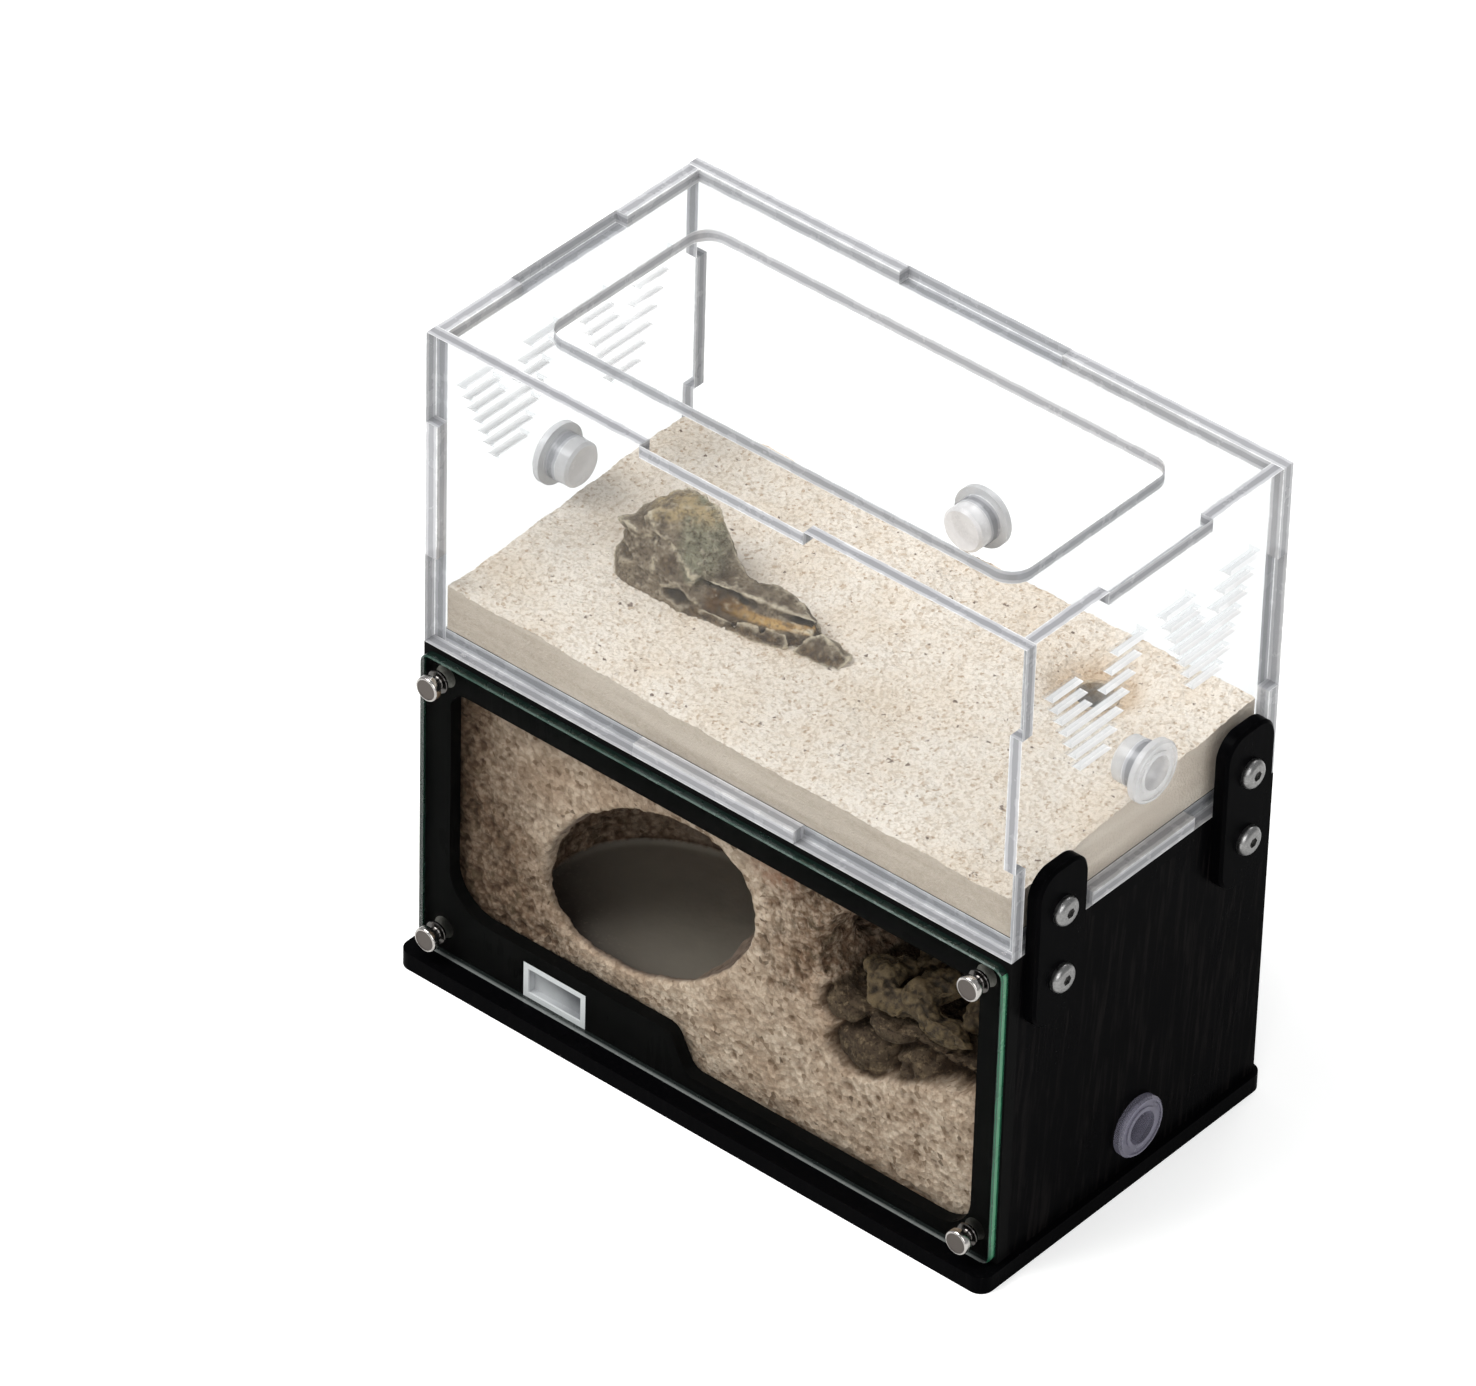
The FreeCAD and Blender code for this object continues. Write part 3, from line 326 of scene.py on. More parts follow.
def sand_top_material():
    """Cream sand with grains of tan, brown and grey, painted shade in the dip, and smooth greige along the
    walls.
    """
    s = Shader("sand_cream_speckled")
    light, mid = srgb(238, 228, 215), srgb(220, 207, 191)
    grains = grain_colours(s, 0.62, light, mid, srgb(196, 177, 156), srgb(122, 106, 94))
    coarse = grain_colours(s, 1.25, light, light, srgb(206, 188, 168), srgb(136, 120, 108))
    mixed = s.mix(s.levels(s.noise(1.0, 2), 0.48, 0.6), grains, coarse)
    warm = s.levels(s.noise(16), 0.4, 0.68, 0, 0.45)
    mixed = s.mix(warm, mixed, srgb(240, 229, 214), "MULTIPLY")
    # painted shade in the dip about the tube
    mixed = s.mix(s.times(s.attribute("dip"), 0.7), mixed, srgb(212, 190, 160), "MULTIPLY")
    wall = s.mix(s.levels(s.noise(1.1, 4, 0.65), 0.3, 0.7), srgb(200, 186, 169), srgb(182, 168, 150))
    bands = s.noise(7, 3, stretch=(0.25, 0.25, 2.2))
    wall = s.mix(s.levels(bands, 0.4, 0.66, 0, 0.6), wall, srgb(212, 200, 184))
    # painted light: a brighter copy of the wall colour on the sand's side that faces +x
    lit_wall = s.mix(s.levels(bands, 0.4, 0.66), srgb(232, 216, 198), srgb(244, 230, 212))
    wall = s.mix(s.math("GREATER_THAN", s.facing("x"), 0.7), wall, lit_wall)
    top = s.levels(s.facing("z"), 0.12, 0.4)
    relief = s.math("ADD", s.cells(0.62, "Distance"), s.noise(0.35))
    rough = s.levels(s.noise(0.8, 2), 0.3, 0.7, 0.8, 0.95)
    return s.finish(s.solid(s.mix(top, wall, mixed), rough, s.bump(relief, 0.28, 0.6), specular=0.25))


SIGHT_RECESS = -39.6  # y behind which the small window is its recessed pane


def frosted_window():
    """The tank's small window: a white cut rim about a cloudy pane, with painted shade deeper up and to the
    right.
    """
    s = Shader("sight_frosted")
    cloud = s.noise(6)
    place = s.vector_math("DOT_PRODUCT", s.object_mm(), (0.055, 0, 0.1))
    # painted shade in the recessed pane, deepening up and to the right
    depth = s.levels(s.math("ADD", place, s.levels(cloud, 0.3, 0.7, -0.12, 0.12)), -1.9, -1.0)
    pane = s.mix(depth, srgb(196, 196, 200), srgb(112, 112, 118))
    recessed = s.math("GREATER_THAN", s.place("y"), SIGHT_RECESS)
    colour = s.mix(recessed, srgb(226, 226, 230), pane)
    rough = s.levels(cloud, 0.3, 0.7, 0.3, 0.5)
    return s.finish(s.solid(colour, rough, s.bump(s.noise(0.6), 0.04, 0.4), specular=0.3))


# ---------------- studio
def linked(name, data):
    """A new object in the scene."""
    made = bpy.data.objects.new(name, data)
    scene.collection.objects.link(made)
    return made


# the camera that fits the photo: the picture's size, its focal length and its middle in pixels,
# then the camera's place and directions
PHOTO_WIDTH, PHOTO_HEIGHT = 1476, 1386
FOCAL_LENGTH, MIDDLE_X, MIDDLE_Y = 10811.35, 757.75, 646.07
CAMERA_PLACE = (1.05236, -1.30042, 1.37354)
RIGHT = Vector((0.75887, 0.65082, 0.02352))
DOWN = Vector((0.40996, -0.44934, -0.79374))
FORWARD = Vector((-0.50601, 0.61199, -0.60780))
SENSOR = 36


def build_camera():
    data = bpy.data.cameras.new("camera")
    data.sensor_width = SENSOR
    data.lens = FOCAL_LENGTH / PHOTO_WIDTH * SENSOR
    data.shift_x = (PHOTO_WIDTH / 2 - MIDDLE_X) / PHOTO_WIDTH
    data.shift_y = (MIDDLE_Y - PHOTO_HEIGHT / 2) / PHOTO_WIDTH
    turn = Matrix((RIGHT, -DOWN, -FORWARD)).transposed().to_4x4()
    scene.camera = linked("camera", data)
    scene.camera.matrix_world = Matrix.Translation(CAMERA_PLACE) @ turn


def seen(s):
    """1 for rays that the camera sends, also through clear sheets."""
    path = s.add("LightPath")
    return s.math("MAXIMUM", path.outputs["Is Camera Ray"], path.outputs["Is Transmission Ray"])


def build_world():
    """Soft light from all sides, and a plain white backdrop for the camera."""
    scene.world = bpy.data.worlds.new("studio")
    s = Shader("studio", scene.world)
    dim = s.add("Background", {"Color": (0.97, 0.985, 1, 1), "Strength": 0.42}).outputs[0]
    white = s.add("Background", {"Color": (1, 1, 1, 1), "Strength": 1.0}).outputs[0]
    s.finish(s.blend(seen(s), dim, white), "OutputWorld")


def build_floor():
    """A pale floor that keeps the shadow and looks white to the camera."""
    bpy.ops.mesh.primitive_plane_add(size=8, location=(0, 0, 0))
    floor = bpy.context.object
    floor.name = "studio_floor"
    s = Shader("studio_floor")
    lit = s.add("BsdfDiffuse", {"Color": (0.8, 0.8, 0.79, 1)}).outputs[0]
    glow = s.add("Emission", {"Color": (1, 1, 1, 1), "Strength": s.times(seen(s), 0.48)}).outputs[0]
    floor.data.materials.append(s.finish(s.add("AddShader", {0: lit, 1: glow}).outputs[0]))


LAMP_AIM = Vector((0, 0, 0.08))
LAMPS = {
    # name: (azimuth, elevation, distance, size, watts)
    "key": (-38, 56, 1.6, 0.9, 24.0),
    "fill": (46, 30, 1.7, 1.2, 11.0),
    "back": (190, 50, 1.8, 0.8, 6.0),
}


def build_lamps():
    """The lamps of the table, each aimed at the middle of the habitat."""
    for name, (azimuth, elevation, distance, size, watts) in LAMPS.items():
        a, e = math.radians(azimuth), math.radians(elevation)
        away = Vector((math.sin(a) * math.cos(e), -math.cos(a) * math.cos(e), math.sin(e)))
        data = bpy.data.lights.new(name, "AREA")
        data.size = size
        data.energy = watts
        lamp = linked(name, data)
        lamp.location = LAMP_AIM + away * distance
        lamp.rotation_euler = (-away).to_track_quat("-Z", "Y").to_euler()


# ---------------- mesh helpers
def add_piece(name, mesh, material, replaced, body="habitat"):
    """A piece of the visual model, in place of a CAD node."""
    mesh.name = name
    mesh.materials.clear()
    mesh.materials.append(material)
    piece = linked(name, mesh)
    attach(piece, body)
    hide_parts(replaced)
    return piece


def remeshed(mesh, voxel):
    """A mesh with even faces about voxel millimetres wide, in the shape of the one given."""
    work = linked("work", mesh)
    modifier = work.modifiers.new("remesh", "REMESH")
    modifier.mode = "VOXEL"
    modifier.voxel_size = voxel * MM
    modifier.use_smooth_shade = True
    return applied(work)


def applied(work):
    """The mesh of an object with its modifiers applied. The object is removed."""
    graph = bpy.context.evaluated_depsgraph_get()
    mesh = bpy.data.meshes.new_from_object(work.evaluated_get(graph))
    bpy.data.objects.remove(work)
    return mesh


def finished(bm):
    """A new mesh from a bmesh, which is freed."""
    mesh = bpy.data.meshes.new("mesh")
    bm.to_mesh(mesh)
    bm.free()
    return mesh


def surface(mesh):
    """Where the vertices are, in millimetres, and their normals."""
    co = np.empty(len(mesh.vertices) * 3)
    mesh.vertices.foreach_get("co", co)
    return co.reshape(-1, 3) / MM, np.array([v.normal for v in mesh.vertices])


def set_positions(mesh, places):
    mesh.vertices.foreach_set("co", (places * MM).ravel())
    mesh.update()


def set_masks(mesh, **masks):
    """Values for the materials, one per vertex and mask, kept from 0 to 1."""
    for name, values in masks.items():
        attribute = mesh.attributes.new(name, "FLOAT", "POINT")
        attribute.data.foreach_set("value", np.clip(values, 0, 1).astype(np.float32))


def hollowness(mesh, rounds):
    """How far the surroundings of each vertex stand above it, in mm; below zero on ridges."""
    p, n = surface(mesh)
    ends = np.empty(len(mesh.edges) * 2, dtype=np.int32)
    mesh.edges.foreach_get("vertices", ends)
    a, b = ends.reshape(-1, 2).T
    size = len(p)
    count = np.maximum(np.bincount(a, minlength=size) + np.bincount(b, minlength=size), 1)
    mean = p.copy()
    for _ in range(rounds):
        mean = np.column_stack([
            (np.bincount(a, mean[b, k], size) + np.bincount(b, mean[a, k], size)) / count for k in range(3)])
    return ((mean - p) * n).sum(axis=1)


def smooth_step(values, low, high):
    """0 up to low, 1 from high on, and an S between them."""
    t = np.clip((values - low) / (high - low), 0, 1)
    return t * t * (3 - 2 * t)


def noise_at(places, size, octaves=1, gain=0.5, seed=0.0):
    """Smooth noise from about -1 to 1 at each place, with features of about size millimetres."""
    total = np.zeros(len(places))
    weight, scale = 1.0, 1 / size
    for _ in range(octaves):
        total += weight * np.array([noise.noise(Vector(p)) for p in (places + seed) * scale])
        weight, scale = weight * gain, scale * 2.03
    return total


SHEET_PLAY = 0.03  # how far a sheet's faces are drawn in
SAME_PLACE = 0.002  # distance below which two corners count as one
SAME_DIRECTION = 0.995  # cosine above which two faces count as one plane
SHARP_SHEET, SHARP_KNOB = math.radians(35), math.radians(32)  # angles from which an edge is sharp


def drawn_in(node, name, material, body="habitat"):
    """A copy of a CAD sheet whose faces stand back by a hair from the sheets that it touches."""
    bm = bmesh.new()
    bm.from_mesh(nodes[node].data)
    bmesh.ops.remove_doubles(bm, verts=bm.verts, dist=SAME_PLACE * MM)
    bm.normal_update()
    moves = []
    for vertex in bm.verts:
        facing = []
        for face in vertex.link_faces:
            normal = face.normal.copy()
            if face.calc_area() > 1e-12 and all(normal.dot(other) < SAME_DIRECTION for other in facing):
                facing.append(normal)
        # the shortest move that takes the corner inward by the play from each of its faces
        rows = np.array([tuple(f) for f in facing])
        moves.append(np.linalg.lstsq(rows, np.full(len(rows), -SHEET_PLAY * MM), rcond=0.05)[0])
    for vertex, move in zip(bm.verts, moves):
        length = np.linalg.norm(move)
        vertex.co += Vector(move * min(1, 2 * SHEET_PLAY * MM / max(length, 1e-12)))
    for edge in bm.edges:
        edge.smooth = len(edge.link_faces) == 2 and edge.calc_face_angle(0) < SHARP_SHEET
    for face in bm.faces:
        face.smooth = True
    return add_piece(name, finished(bm), material, node, body)


# ---------------- sand layer
SAND_X, SAND_Y = 71.8, 36.8  # half its length and depth
SAND_BOTTOM = 82.0
SAND_STEP = 0.45  # the squares of its top
FRONT_HEIGHTS = [
    # x, height of the sand along the front wall
    (-71.8, 92.2), (-50, 92.0), (-32, 91.3), (-10, 90.9), (10, 90.6), (40, 90.6), (53, 91.1), (63, 90.4),
    (71.8, 91.6)]
BACK_HEIGHTS = [(-71.8, 95.9), (-18, 95.2), (18, 96.4), (45, 97.0), (71.8, 97.4)]
TUBE_X, TUBE_Y, TUBE_TOP, TUBE_RADIUS = 45.0, 21.0, 93.25, 5.0  # the passage tube's mouth


def along(table, x):
    """Heights between the points (x, height) of a table."""
    return np.interp(x, [p[0] for p in table], [p[1] for p in table])


def sand_height(x, y):
    """The sand's height: sloped from the front to the back wall, with a dip about the tube."""
    share = smooth_step(y, -SAND_Y, SAND_Y) * 0.5 + (y + SAND_Y) / (2 * SAND_Y) * 0.5
    height = along(FRONT_HEIGHTS, x) * (1 - share) + along(BACK_HEIGHTS, x) * share
    dip_floor = TUBE_TOP - 0.35
    funnel = smooth_step(np.hypot(x - TUBE_X, y - TUBE_Y), TUBE_RADIUS, TUBE_RADIUS + 9)
    return dip_floor + (height - dip_floor) * funnel


def sand_block():
    """The bed of sand as a closed mesh, with small heaps and loose grains on its top."""
    nx, ny = int(2 * SAND_X / SAND_STEP), int(2 * SAND_Y / SAND_STEP)
    xs, ys = np.linspace(-SAND_X, SAND_X, nx + 1), np.linspace(-SAND_Y, SAND_Y, ny + 1)
    gx, gy = np.meshgrid(xs, ys, indexing="ij")
    flat = np.column_stack([gx.ravel(), gy.ravel(), np.zeros(gx.size)])
    draw = np.random.default_rng(5)
    height = sand_height(flat[:, 0], flat[:, 1])
    height += 0.55 * noise_at(flat, 14, 3) + 0.28 * noise_at(flat, 2.2, 2, seed=40.0)
    inner = (np.abs(flat[:, 0]) < SAND_X - 0.1) & (np.abs(flat[:, 1]) < SAND_Y - 0.1)
    height += np.where(inner, draw.uniform(-0.16, 0.16, len(flat)), draw.uniform(-0.1, 0.1, len(flat)))
    top = np.column_stack([flat[:, :2], height])
    bm = bmesh.new()
    grid = [bm.verts.new(Vector(p) * MM) for p in top]

    def at(i, j):
        return grid[i * (ny + 1) + j]

    for i in range(nx):
        for j in range(ny):
            bm.faces.new((at(i, j), at(i + 1, j), at(i + 1, j + 1), at(i, j + 1)))
    ring = ([at(i, 0) for i in range(nx)] + [at(nx, j) for j in range(ny)]
            + [at(i, ny) for i in range(nx, 0, -1)] + [at(0, j) for j in range(ny, 0, -1)])
    low = [bm.verts.new((v.co.x, v.co.y, SAND_BOTTOM * MM)) for v in ring]
    for k, v in enumerate(ring):
        following = (k + 1) % len(ring)
        bm.faces.new((ring[following], v, low[k], low[following]))
    bm.faces.new(low[::-1])
    for face in bm.faces:
        face.smooth = abs(face.normal.z) > 0.1 and len(face.verts) == 4
    bmesh.ops.recalc_face_normals(bm, faces=bm.faces)
    return finished(bm)


def build_sand():
    """The bed of sand, with a hole for the passage tube."""
    work = linked("work", sand_block())
    # the cutter is a hair wider than the tube and goes right through the bed
    bpy.ops.mesh.primitive_cylinder_add(
        vertices=48, radius=(TUBE_RADIUS + 0.05) * MM, depth=60 * MM,
        location=(TUBE_X * MM, TUBE_Y * MM, 88 * MM))
    cutter = bpy.context.object
    modifier = work.modifiers.new("hole", "BOOLEAN")
    modifier.object = cutter
    modifier.operation = "DIFFERENCE"
    modifier.solver = "EXACT"
    mesh = applied(work)
    bpy.data.objects.remove(cutter)
    x, y, _ = surface(mesh)[0].T
    set_masks(mesh, dip=1 - smooth_step(np.hypot(x - TUBE_X, y - TUBE_Y), 6, 12))
    return add_piece("sand_layer_loose", mesh, sand_top_material(), "sand_layer")


# ---------------- casting
# the room's middle, floor and half sizes; the casting's outside, which stays flat;
# and the sizes of the faces of the rough meshes
ROOM_X, ROOM_Y, ROOM_FLOOR = -28.5, -16.0, 18.0
ROOM_HALF_LENGTH, ROOM_HALF_DEPTH = 29.5, 24.0
CAST_FRONT, CAST_HALF_LENGTH, CAST_BOTTOM, CAST_TOP = -35.6, 71.6, 4.2, 75.6
REMESH_CAST, REMESH_ROCKS, REMESH_STONE = 0.7, 0.42, 0.33
RUST_MIDDLE = (12.5, -10.7, 67.5)  # x, 0.3 of y, z


def sand_cast_material():
    """Plaster rough with sand, a smooth dark floor in the chamber and brown stone in the recess."""
    s = Shader("cast_sand_and_stone")
    light, mid = srgb(240, 219, 200), srgb(204, 183, 164)
    grains = grain_colours(s, 1.2, light, mid, srgb(146, 122, 102), srgb(88, 70, 58))
    blotch = s.mix(s.levels(s.noise(7, 4, 0.6), 0.38, 0.66), srgb(200, 180, 162), srgb(168, 148, 130))
    sand = s.mix(0.6, blotch, grains)
    near, floor_share, wall = s.attribute("stone_near"), s.attribute("floor"), s.attribute("wall")
    coarse = s.math("MULTIPLY_ADD", near, 0.6, 0.4)
    # painted shade in the gaps between grains
    gaps = s.levels(s.cells(1.15, "Distance"), 0.38, 0.72, 0, 0.8)
    sand = s.mix(s.times(gaps, coarse), sand, srgb(176, 156, 140), "MULTIPLY")
    # painted shade: darker towards the left end
    sand = s.mix(s.levels(s.place("x"), -68, -34, 0.75, 0.0), sand, srgb(122, 104, 88), "MULTIPLY")
    broad = s.levels(s.noise(17, 3, 0.6), 0.42, 0.62)
    sand = s.mix(s.times(broad, 0.5), sand, srgb(196, 178, 162), "MULTIPLY")
    sand = s.mix(near, sand, srgb(208, 202, 198), "MULTIPLY")
    streaks = s.levels(s.noise(3.2, 5, 0.72, stretch=(1.15, 1, 0.75)), 0.5, 0.64, 0, 0.85)
    streaks = s.times(streaks, s.math("MULTIPLY_ADD", near, 0.95, 0.15), clamp=True)
    sand = s.mix(streaks, sand, srgb(84, 70, 54))
    pits = s.levels(s.noise(0.9, 3, 0.6), 0.34, 0.46, 0.6, 0.0)
    sand = s.mix(s.times(pits, coarse), sand, srgb(72, 56, 45))
    rust = s.vector_math("LENGTH", s.vector_math("SUBTRACT", s.object_mm((1, 0.3, 1)), RUST_MIDDLE))
    rust = s.times(s.levels(rust, 3, 9, 1, 0, smooth=True), s.levels(s.noise(2), 0.35, 0.6))
    sand = s.mix(s.times(rust, 0.6), sand, srgb(146, 92, 66))
    # the room's walls: their own smoother brown, made darker as painted shade
    brown = s.mix(s.levels(s.noise(2.4, 4, 0.65), 0.35, 0.65), srgb(128, 110, 100), srgb(94, 80, 72))
    brown = s.mix(s.levels(s.cells(0.9, "Distance"), 0.1, 0.7, 0, 0.25), brown, srgb(150, 130, 116))
    stone = s.mix(s.levels(s.noise(5, 5, 0.62), 0.36, 0.66), srgb(92, 77, 62), srgb(60, 48, 39))
    stone = s.mix(s.levels(s.noise(1.3, 4, 0.7), 0.52, 0.66, 0, 0.65), stone, srgb(134, 115, 92))
    stone = s.mix(s.levels(s.noise(0.8, 3, 0.7), 0.37, 0.47, 0.75, 0.0), stone, srgb(46, 36, 28))
    # painted light: the room's floor brighter towards the right and front, where the room's shadow falls
    rightward = s.levels(s.vector_math("DOT_PRODUCT", s.object_mm(), (0.6, 0.9, 0)), -52, -8)
    floor = s.mix(rightward, srgb(56, 49, 46), srgb(176, 166, 154))
    floor = s.mix(s.levels(s.noise(12, 4, 0.5), 0.35, 0.68, 0, 0.3), floor, srgb(96, 90, 84))
    floor = s.mix(s.levels(s.noise(0.7, 3, 0.6), 0.6, 0.72, 0, 0.3), floor, srgb(124, 114, 102))
    colour = s.mix(wall, sand, brown)
    colour = s.mix(s.attribute("stone"), colour, stone)
    # painted shade in the creases of the surface
    colour = s.mix(s.attribute("crease"), colour, srgb(150, 130, 114), "MULTIPLY")
    colour = s.mix(floor_share, colour, floor)
    rough = s.math("SUBTRACT", s.levels(s.noise(1.0), 0.3, 0.7, 0.82, 0.96), s.times(floor_share, 0.3))
    relief = s.math("ADD", s.cells(1.2, "Distance"), s.noise(0.5, 4, 0.6))
    smooth = s.math("MAXIMUM", s.times(floor_share, 0.92), s.times(wall, 0.6))
    relief = s.times(relief, s.math("SUBTRACT", 1.0, smooth))
    return s.finish(s.solid(colour, rough, s.bump(relief, 0.42, 0.75), specular=0.2))


# ovals in the casting's face, as middle x, middle z, half length and half height:
# the rocky recess, the low hollow at its right end, and the stones set in the face
RECESS, HOLLOW = (48.0, 47.0, 21.0, 19.5), (57.5, 40.5, 11, 7.5)
FACE_ROCKS = [
    (34.4, 31.4, 6.8, 5.6), (40.4, 41.6, 6.6, 5.2), (29.4, 40.4, 4.6, 4.6), (50.5, 59.5, 6.0, 4.2),
    (36.5, 54.0, 6.5, 4.6)]
ROCKY_FOOT = [(30, 25), (43, 28.5), (65, 39.5)]  # x, height where the rocky part of the face ends below
SANDY_CORNER = (106.4, 108.0)  # x + 0.8 z over which the rock turns to sand, up and to the right
FACE_DEPTHS = (33.8, 35.2)  # -y over which the hollows' sides turn to the casting's face
ROOM_SIDE, RECESS_SIDE = 16, (-34, 10)  # x right of the room's hollows, y about the recess's


def around(oval, x, z):
    """How far each place is from the middle of an oval, 1 at its outline."""
    middle_x, middle_z, half_length, half_height = oval
    return np.hypot((x - middle_x) / half_length, (z - middle_z) / half_height)


def face_relief(p, region):
    """How far the rocky part of the face stands back: grooves about the stones and a low hollow."""
    x, _, z = p.T
    back = 0.9 + 2.6 * np.abs(noise_at(p * (1, 0, 0.8), 7, 3, seed=51))
    for rock in FACE_ROCKS:
        away = around(rock, x, z) + 0.16 * noise_at(p, 5, 2, seed=rock[0])
        dome = 0.2 + 1.5 * away ** 2
        groove = 3.4 * np.exp(-((away - 1.12) / 0.16) ** 2)
        back = np.where(away < 1, dome, back) + groove
    hollow = smooth_step(-around(HOLLOW, x, z), -1.15, -0.7)
    return (back + 4.5 * hollow) * region


def build_casting():
    """The nest's casting: gritty sand, a smooth floor in its room, and rock about and in its recess."""
    mesh = remeshed(nodes["nest_landscape"].data.copy(), REMESH_CAST)
    p, n = surface(mesh)
    x, y, z = p.T
    # rounder rims about the recess, and relief only on what shows, off the flat outside
    soft_rim = np.clip(hollowness(mesh, 18), -1.6, 0.5) * smooth_step(x, 8, 18)
    shown = smooth_step(-y, -6, 8)
    boxed = np.minimum.reduce([
        smooth_step(v, 0.0, 1.2) for v in (CAST_HALF_LENGTH - np.abs(x), z - CAST_BOTTOM, CAST_TOP - z)])
    # the room: its floor, and the side walls of its hollows
    room_x, room_y = (x - ROOM_X) / (ROOM_HALF_LENGTH + 1), (y - ROOM_Y) / (ROOM_HALF_DEPTH + 1)
    floor = (room_x ** 2 + room_y ** 2 < 1) & (y > CAST_FRONT + 1.6)
    floor = floor & (z < ROOM_FLOOR + 1.0) & (z > ROOM_FLOOR - 2)
    face = smooth_step(-y, *FACE_DEPTHS)
    wall = (1 - face) * ((x < ROOM_SIDE) & (y > -35)) * smooth_step(z, ROOM_FLOOR + 0.6, ROOM_FLOOR + 1.6)
    wall = wall * ~floor
    wall = wall * smooth_step(x + (z - 30) * 0.2, -50, -34)
    # the rock: the recess with its stones and inner walls, and the grittier sand near it
    stone_noise = noise_at(p, 7, 3, seed=7.0)
    around_recess = around(RECESS, x, z)
    around_rocks = np.minimum.reduce([around(rock, x, z) for rock in FACE_ROCKS])
    near = smooth_step(2.1 + 0.3 * stone_noise - around_recess, 0.0, 0.8)
    near = near * (0.1 + 0.9 * smooth_step(z + 4 * stone_noise, 32, 50))
    near = np.maximum(near, smooth_step(-x - 0.5 * z, 20, 45) * 0.8)
    stone = smooth_step(1.12 + 0.22 * stone_noise - around_recess, 0.0, 0.25)
    stone = np.maximum(stone, smooth_step(1.2 - around_rocks, 0.0, 0.25))
    stone = stone * smooth_step(z - along(ROCKY_FOOT, x) + stone_noise, -0.8, 0.8)
    sandy_corner = smooth_step(x + 0.8 * z + 0.6 * stone_noise, *SANDY_CORNER)
    stone = stone * (1 - sandy_corner)
    region = stone * face
    behind_face = (y > RECESS_SIDE[0]) * (y < RECESS_SIDE[1])
    stone = np.maximum(stone, smooth_step(x + 2 * stone_noise, 27, 33) * behind_face * (1 - sandy_corner))
    near = np.maximum(near, (x > ROOM_SIDE) * behind_face * 1.0) * (1 - sandy_corner)
    # the relief
    coarse = 0.35 + 0.65 * near
    lumps = 0.5 * noise_at(p, 6.5, 3) * (1 - face * 0.3)
    grit = 0.6 * noise_at(p, 2.2, 2, seed=30.0) * coarse
    crumbs = 0.8 * np.minimum(0, noise_at(p, 3.2, 2, seed=44.0)) * (1 - stone) * coarse
    rock = 1.1 * np.abs(noise_at(p, 8, 3, seed=90.0)) - 0.45
    bulge = lumps * (1 - stone) + rock * stone + grit + crumbs + soft_rim
    bulge = np.clip(bulge, -2.6, 0.9)
    bulge *= shown * boxed * (1 - 0.98 * floor)
    places = p + n * bulge[:, None]
    places[:, 1] += face_relief(p, region)
    set_positions(mesh, places)
    # painted shade where the surface is hollow
    crease = smooth_step(hollowness(mesh, 5), 0.02, 0.22) * 0.8 * (1 - floor)
    set_masks(mesh, crease=crease, floor=floor, wall=wall, stone=stone, stone_near=near)
    return add_piece("nest_landscape_cast", mesh, sand_cast_material(), "nest_landscape")


# ---------------- stones
def stony(s, colour, rough_low, rough_high, depth):
    """A finished material of stone, with a coarse and a fine relief."""
    relief = s.math("ADD", s.noise(1.2, 5, 0.65), s.times(s.noise(0.4), 0.4))
    rough = s.levels(s.noise(1.6), 0.3, 0.7, rough_low, rough_high)
    return s.finish(s.solid(colour, rough, s.bump(relief, depth, 0.7), specular=0.3))


def nest_stone_material():
    """Brown stone with a painted highlight on its ridges, painted shade in its creases, and dark pits."""
    s = Shader("recess_stone")
    pale = srgb(118, 100, 74)
    body = s.mix(s.levels(s.noise(6, 5, 0.6), 0.36, 0.64), srgb(80, 65, 48), srgb(52, 41, 31))
    body = s.mix(s.levels(s.noise(1.5, 5, 0.65), 0.46, 0.7, 0, 0.75), body, pale)
    body = s.mix(s.levels(s.noise(0.6, 3, 0.6), 0.36, 0.46, 0.7, 0.0), body, srgb(52, 44, 36))
    body = s.mix(s.attribute("ridge"), body, pale)
    body = s.mix(s.attribute("crease"), body, srgb(40, 32, 25))
    return stony(s, body, 0.6, 0.9, 0.45)


NEST_ROCKS = [
    # middle, half sizes of the stones piled in the grotto
    ((38.5, -31.2, 45.2), (6.6, 3.5, 4.0)), ((52.0, -30.8, 45.0), (8.0, 4.0, 3.8)),
    ((34.6, -27, 48.2), (5.2, 6, 5.8)), ((47.5, -24.6, 48.6), (6.4, 5.0, 5.2)),
    ((58.6, -24.6, 48.0), (5.6, 6.0, 5.6)), ((40.0, -18.6, 48.4), (7.0, 6, 5.8)),
    ((53.0, -16.4, 48.2), (7.0, 6, 5.8)), ((44.5, -29.4, 47.4), (4.0, 4.0, 4.6))]
GROTTO_FLOOR = 42.1


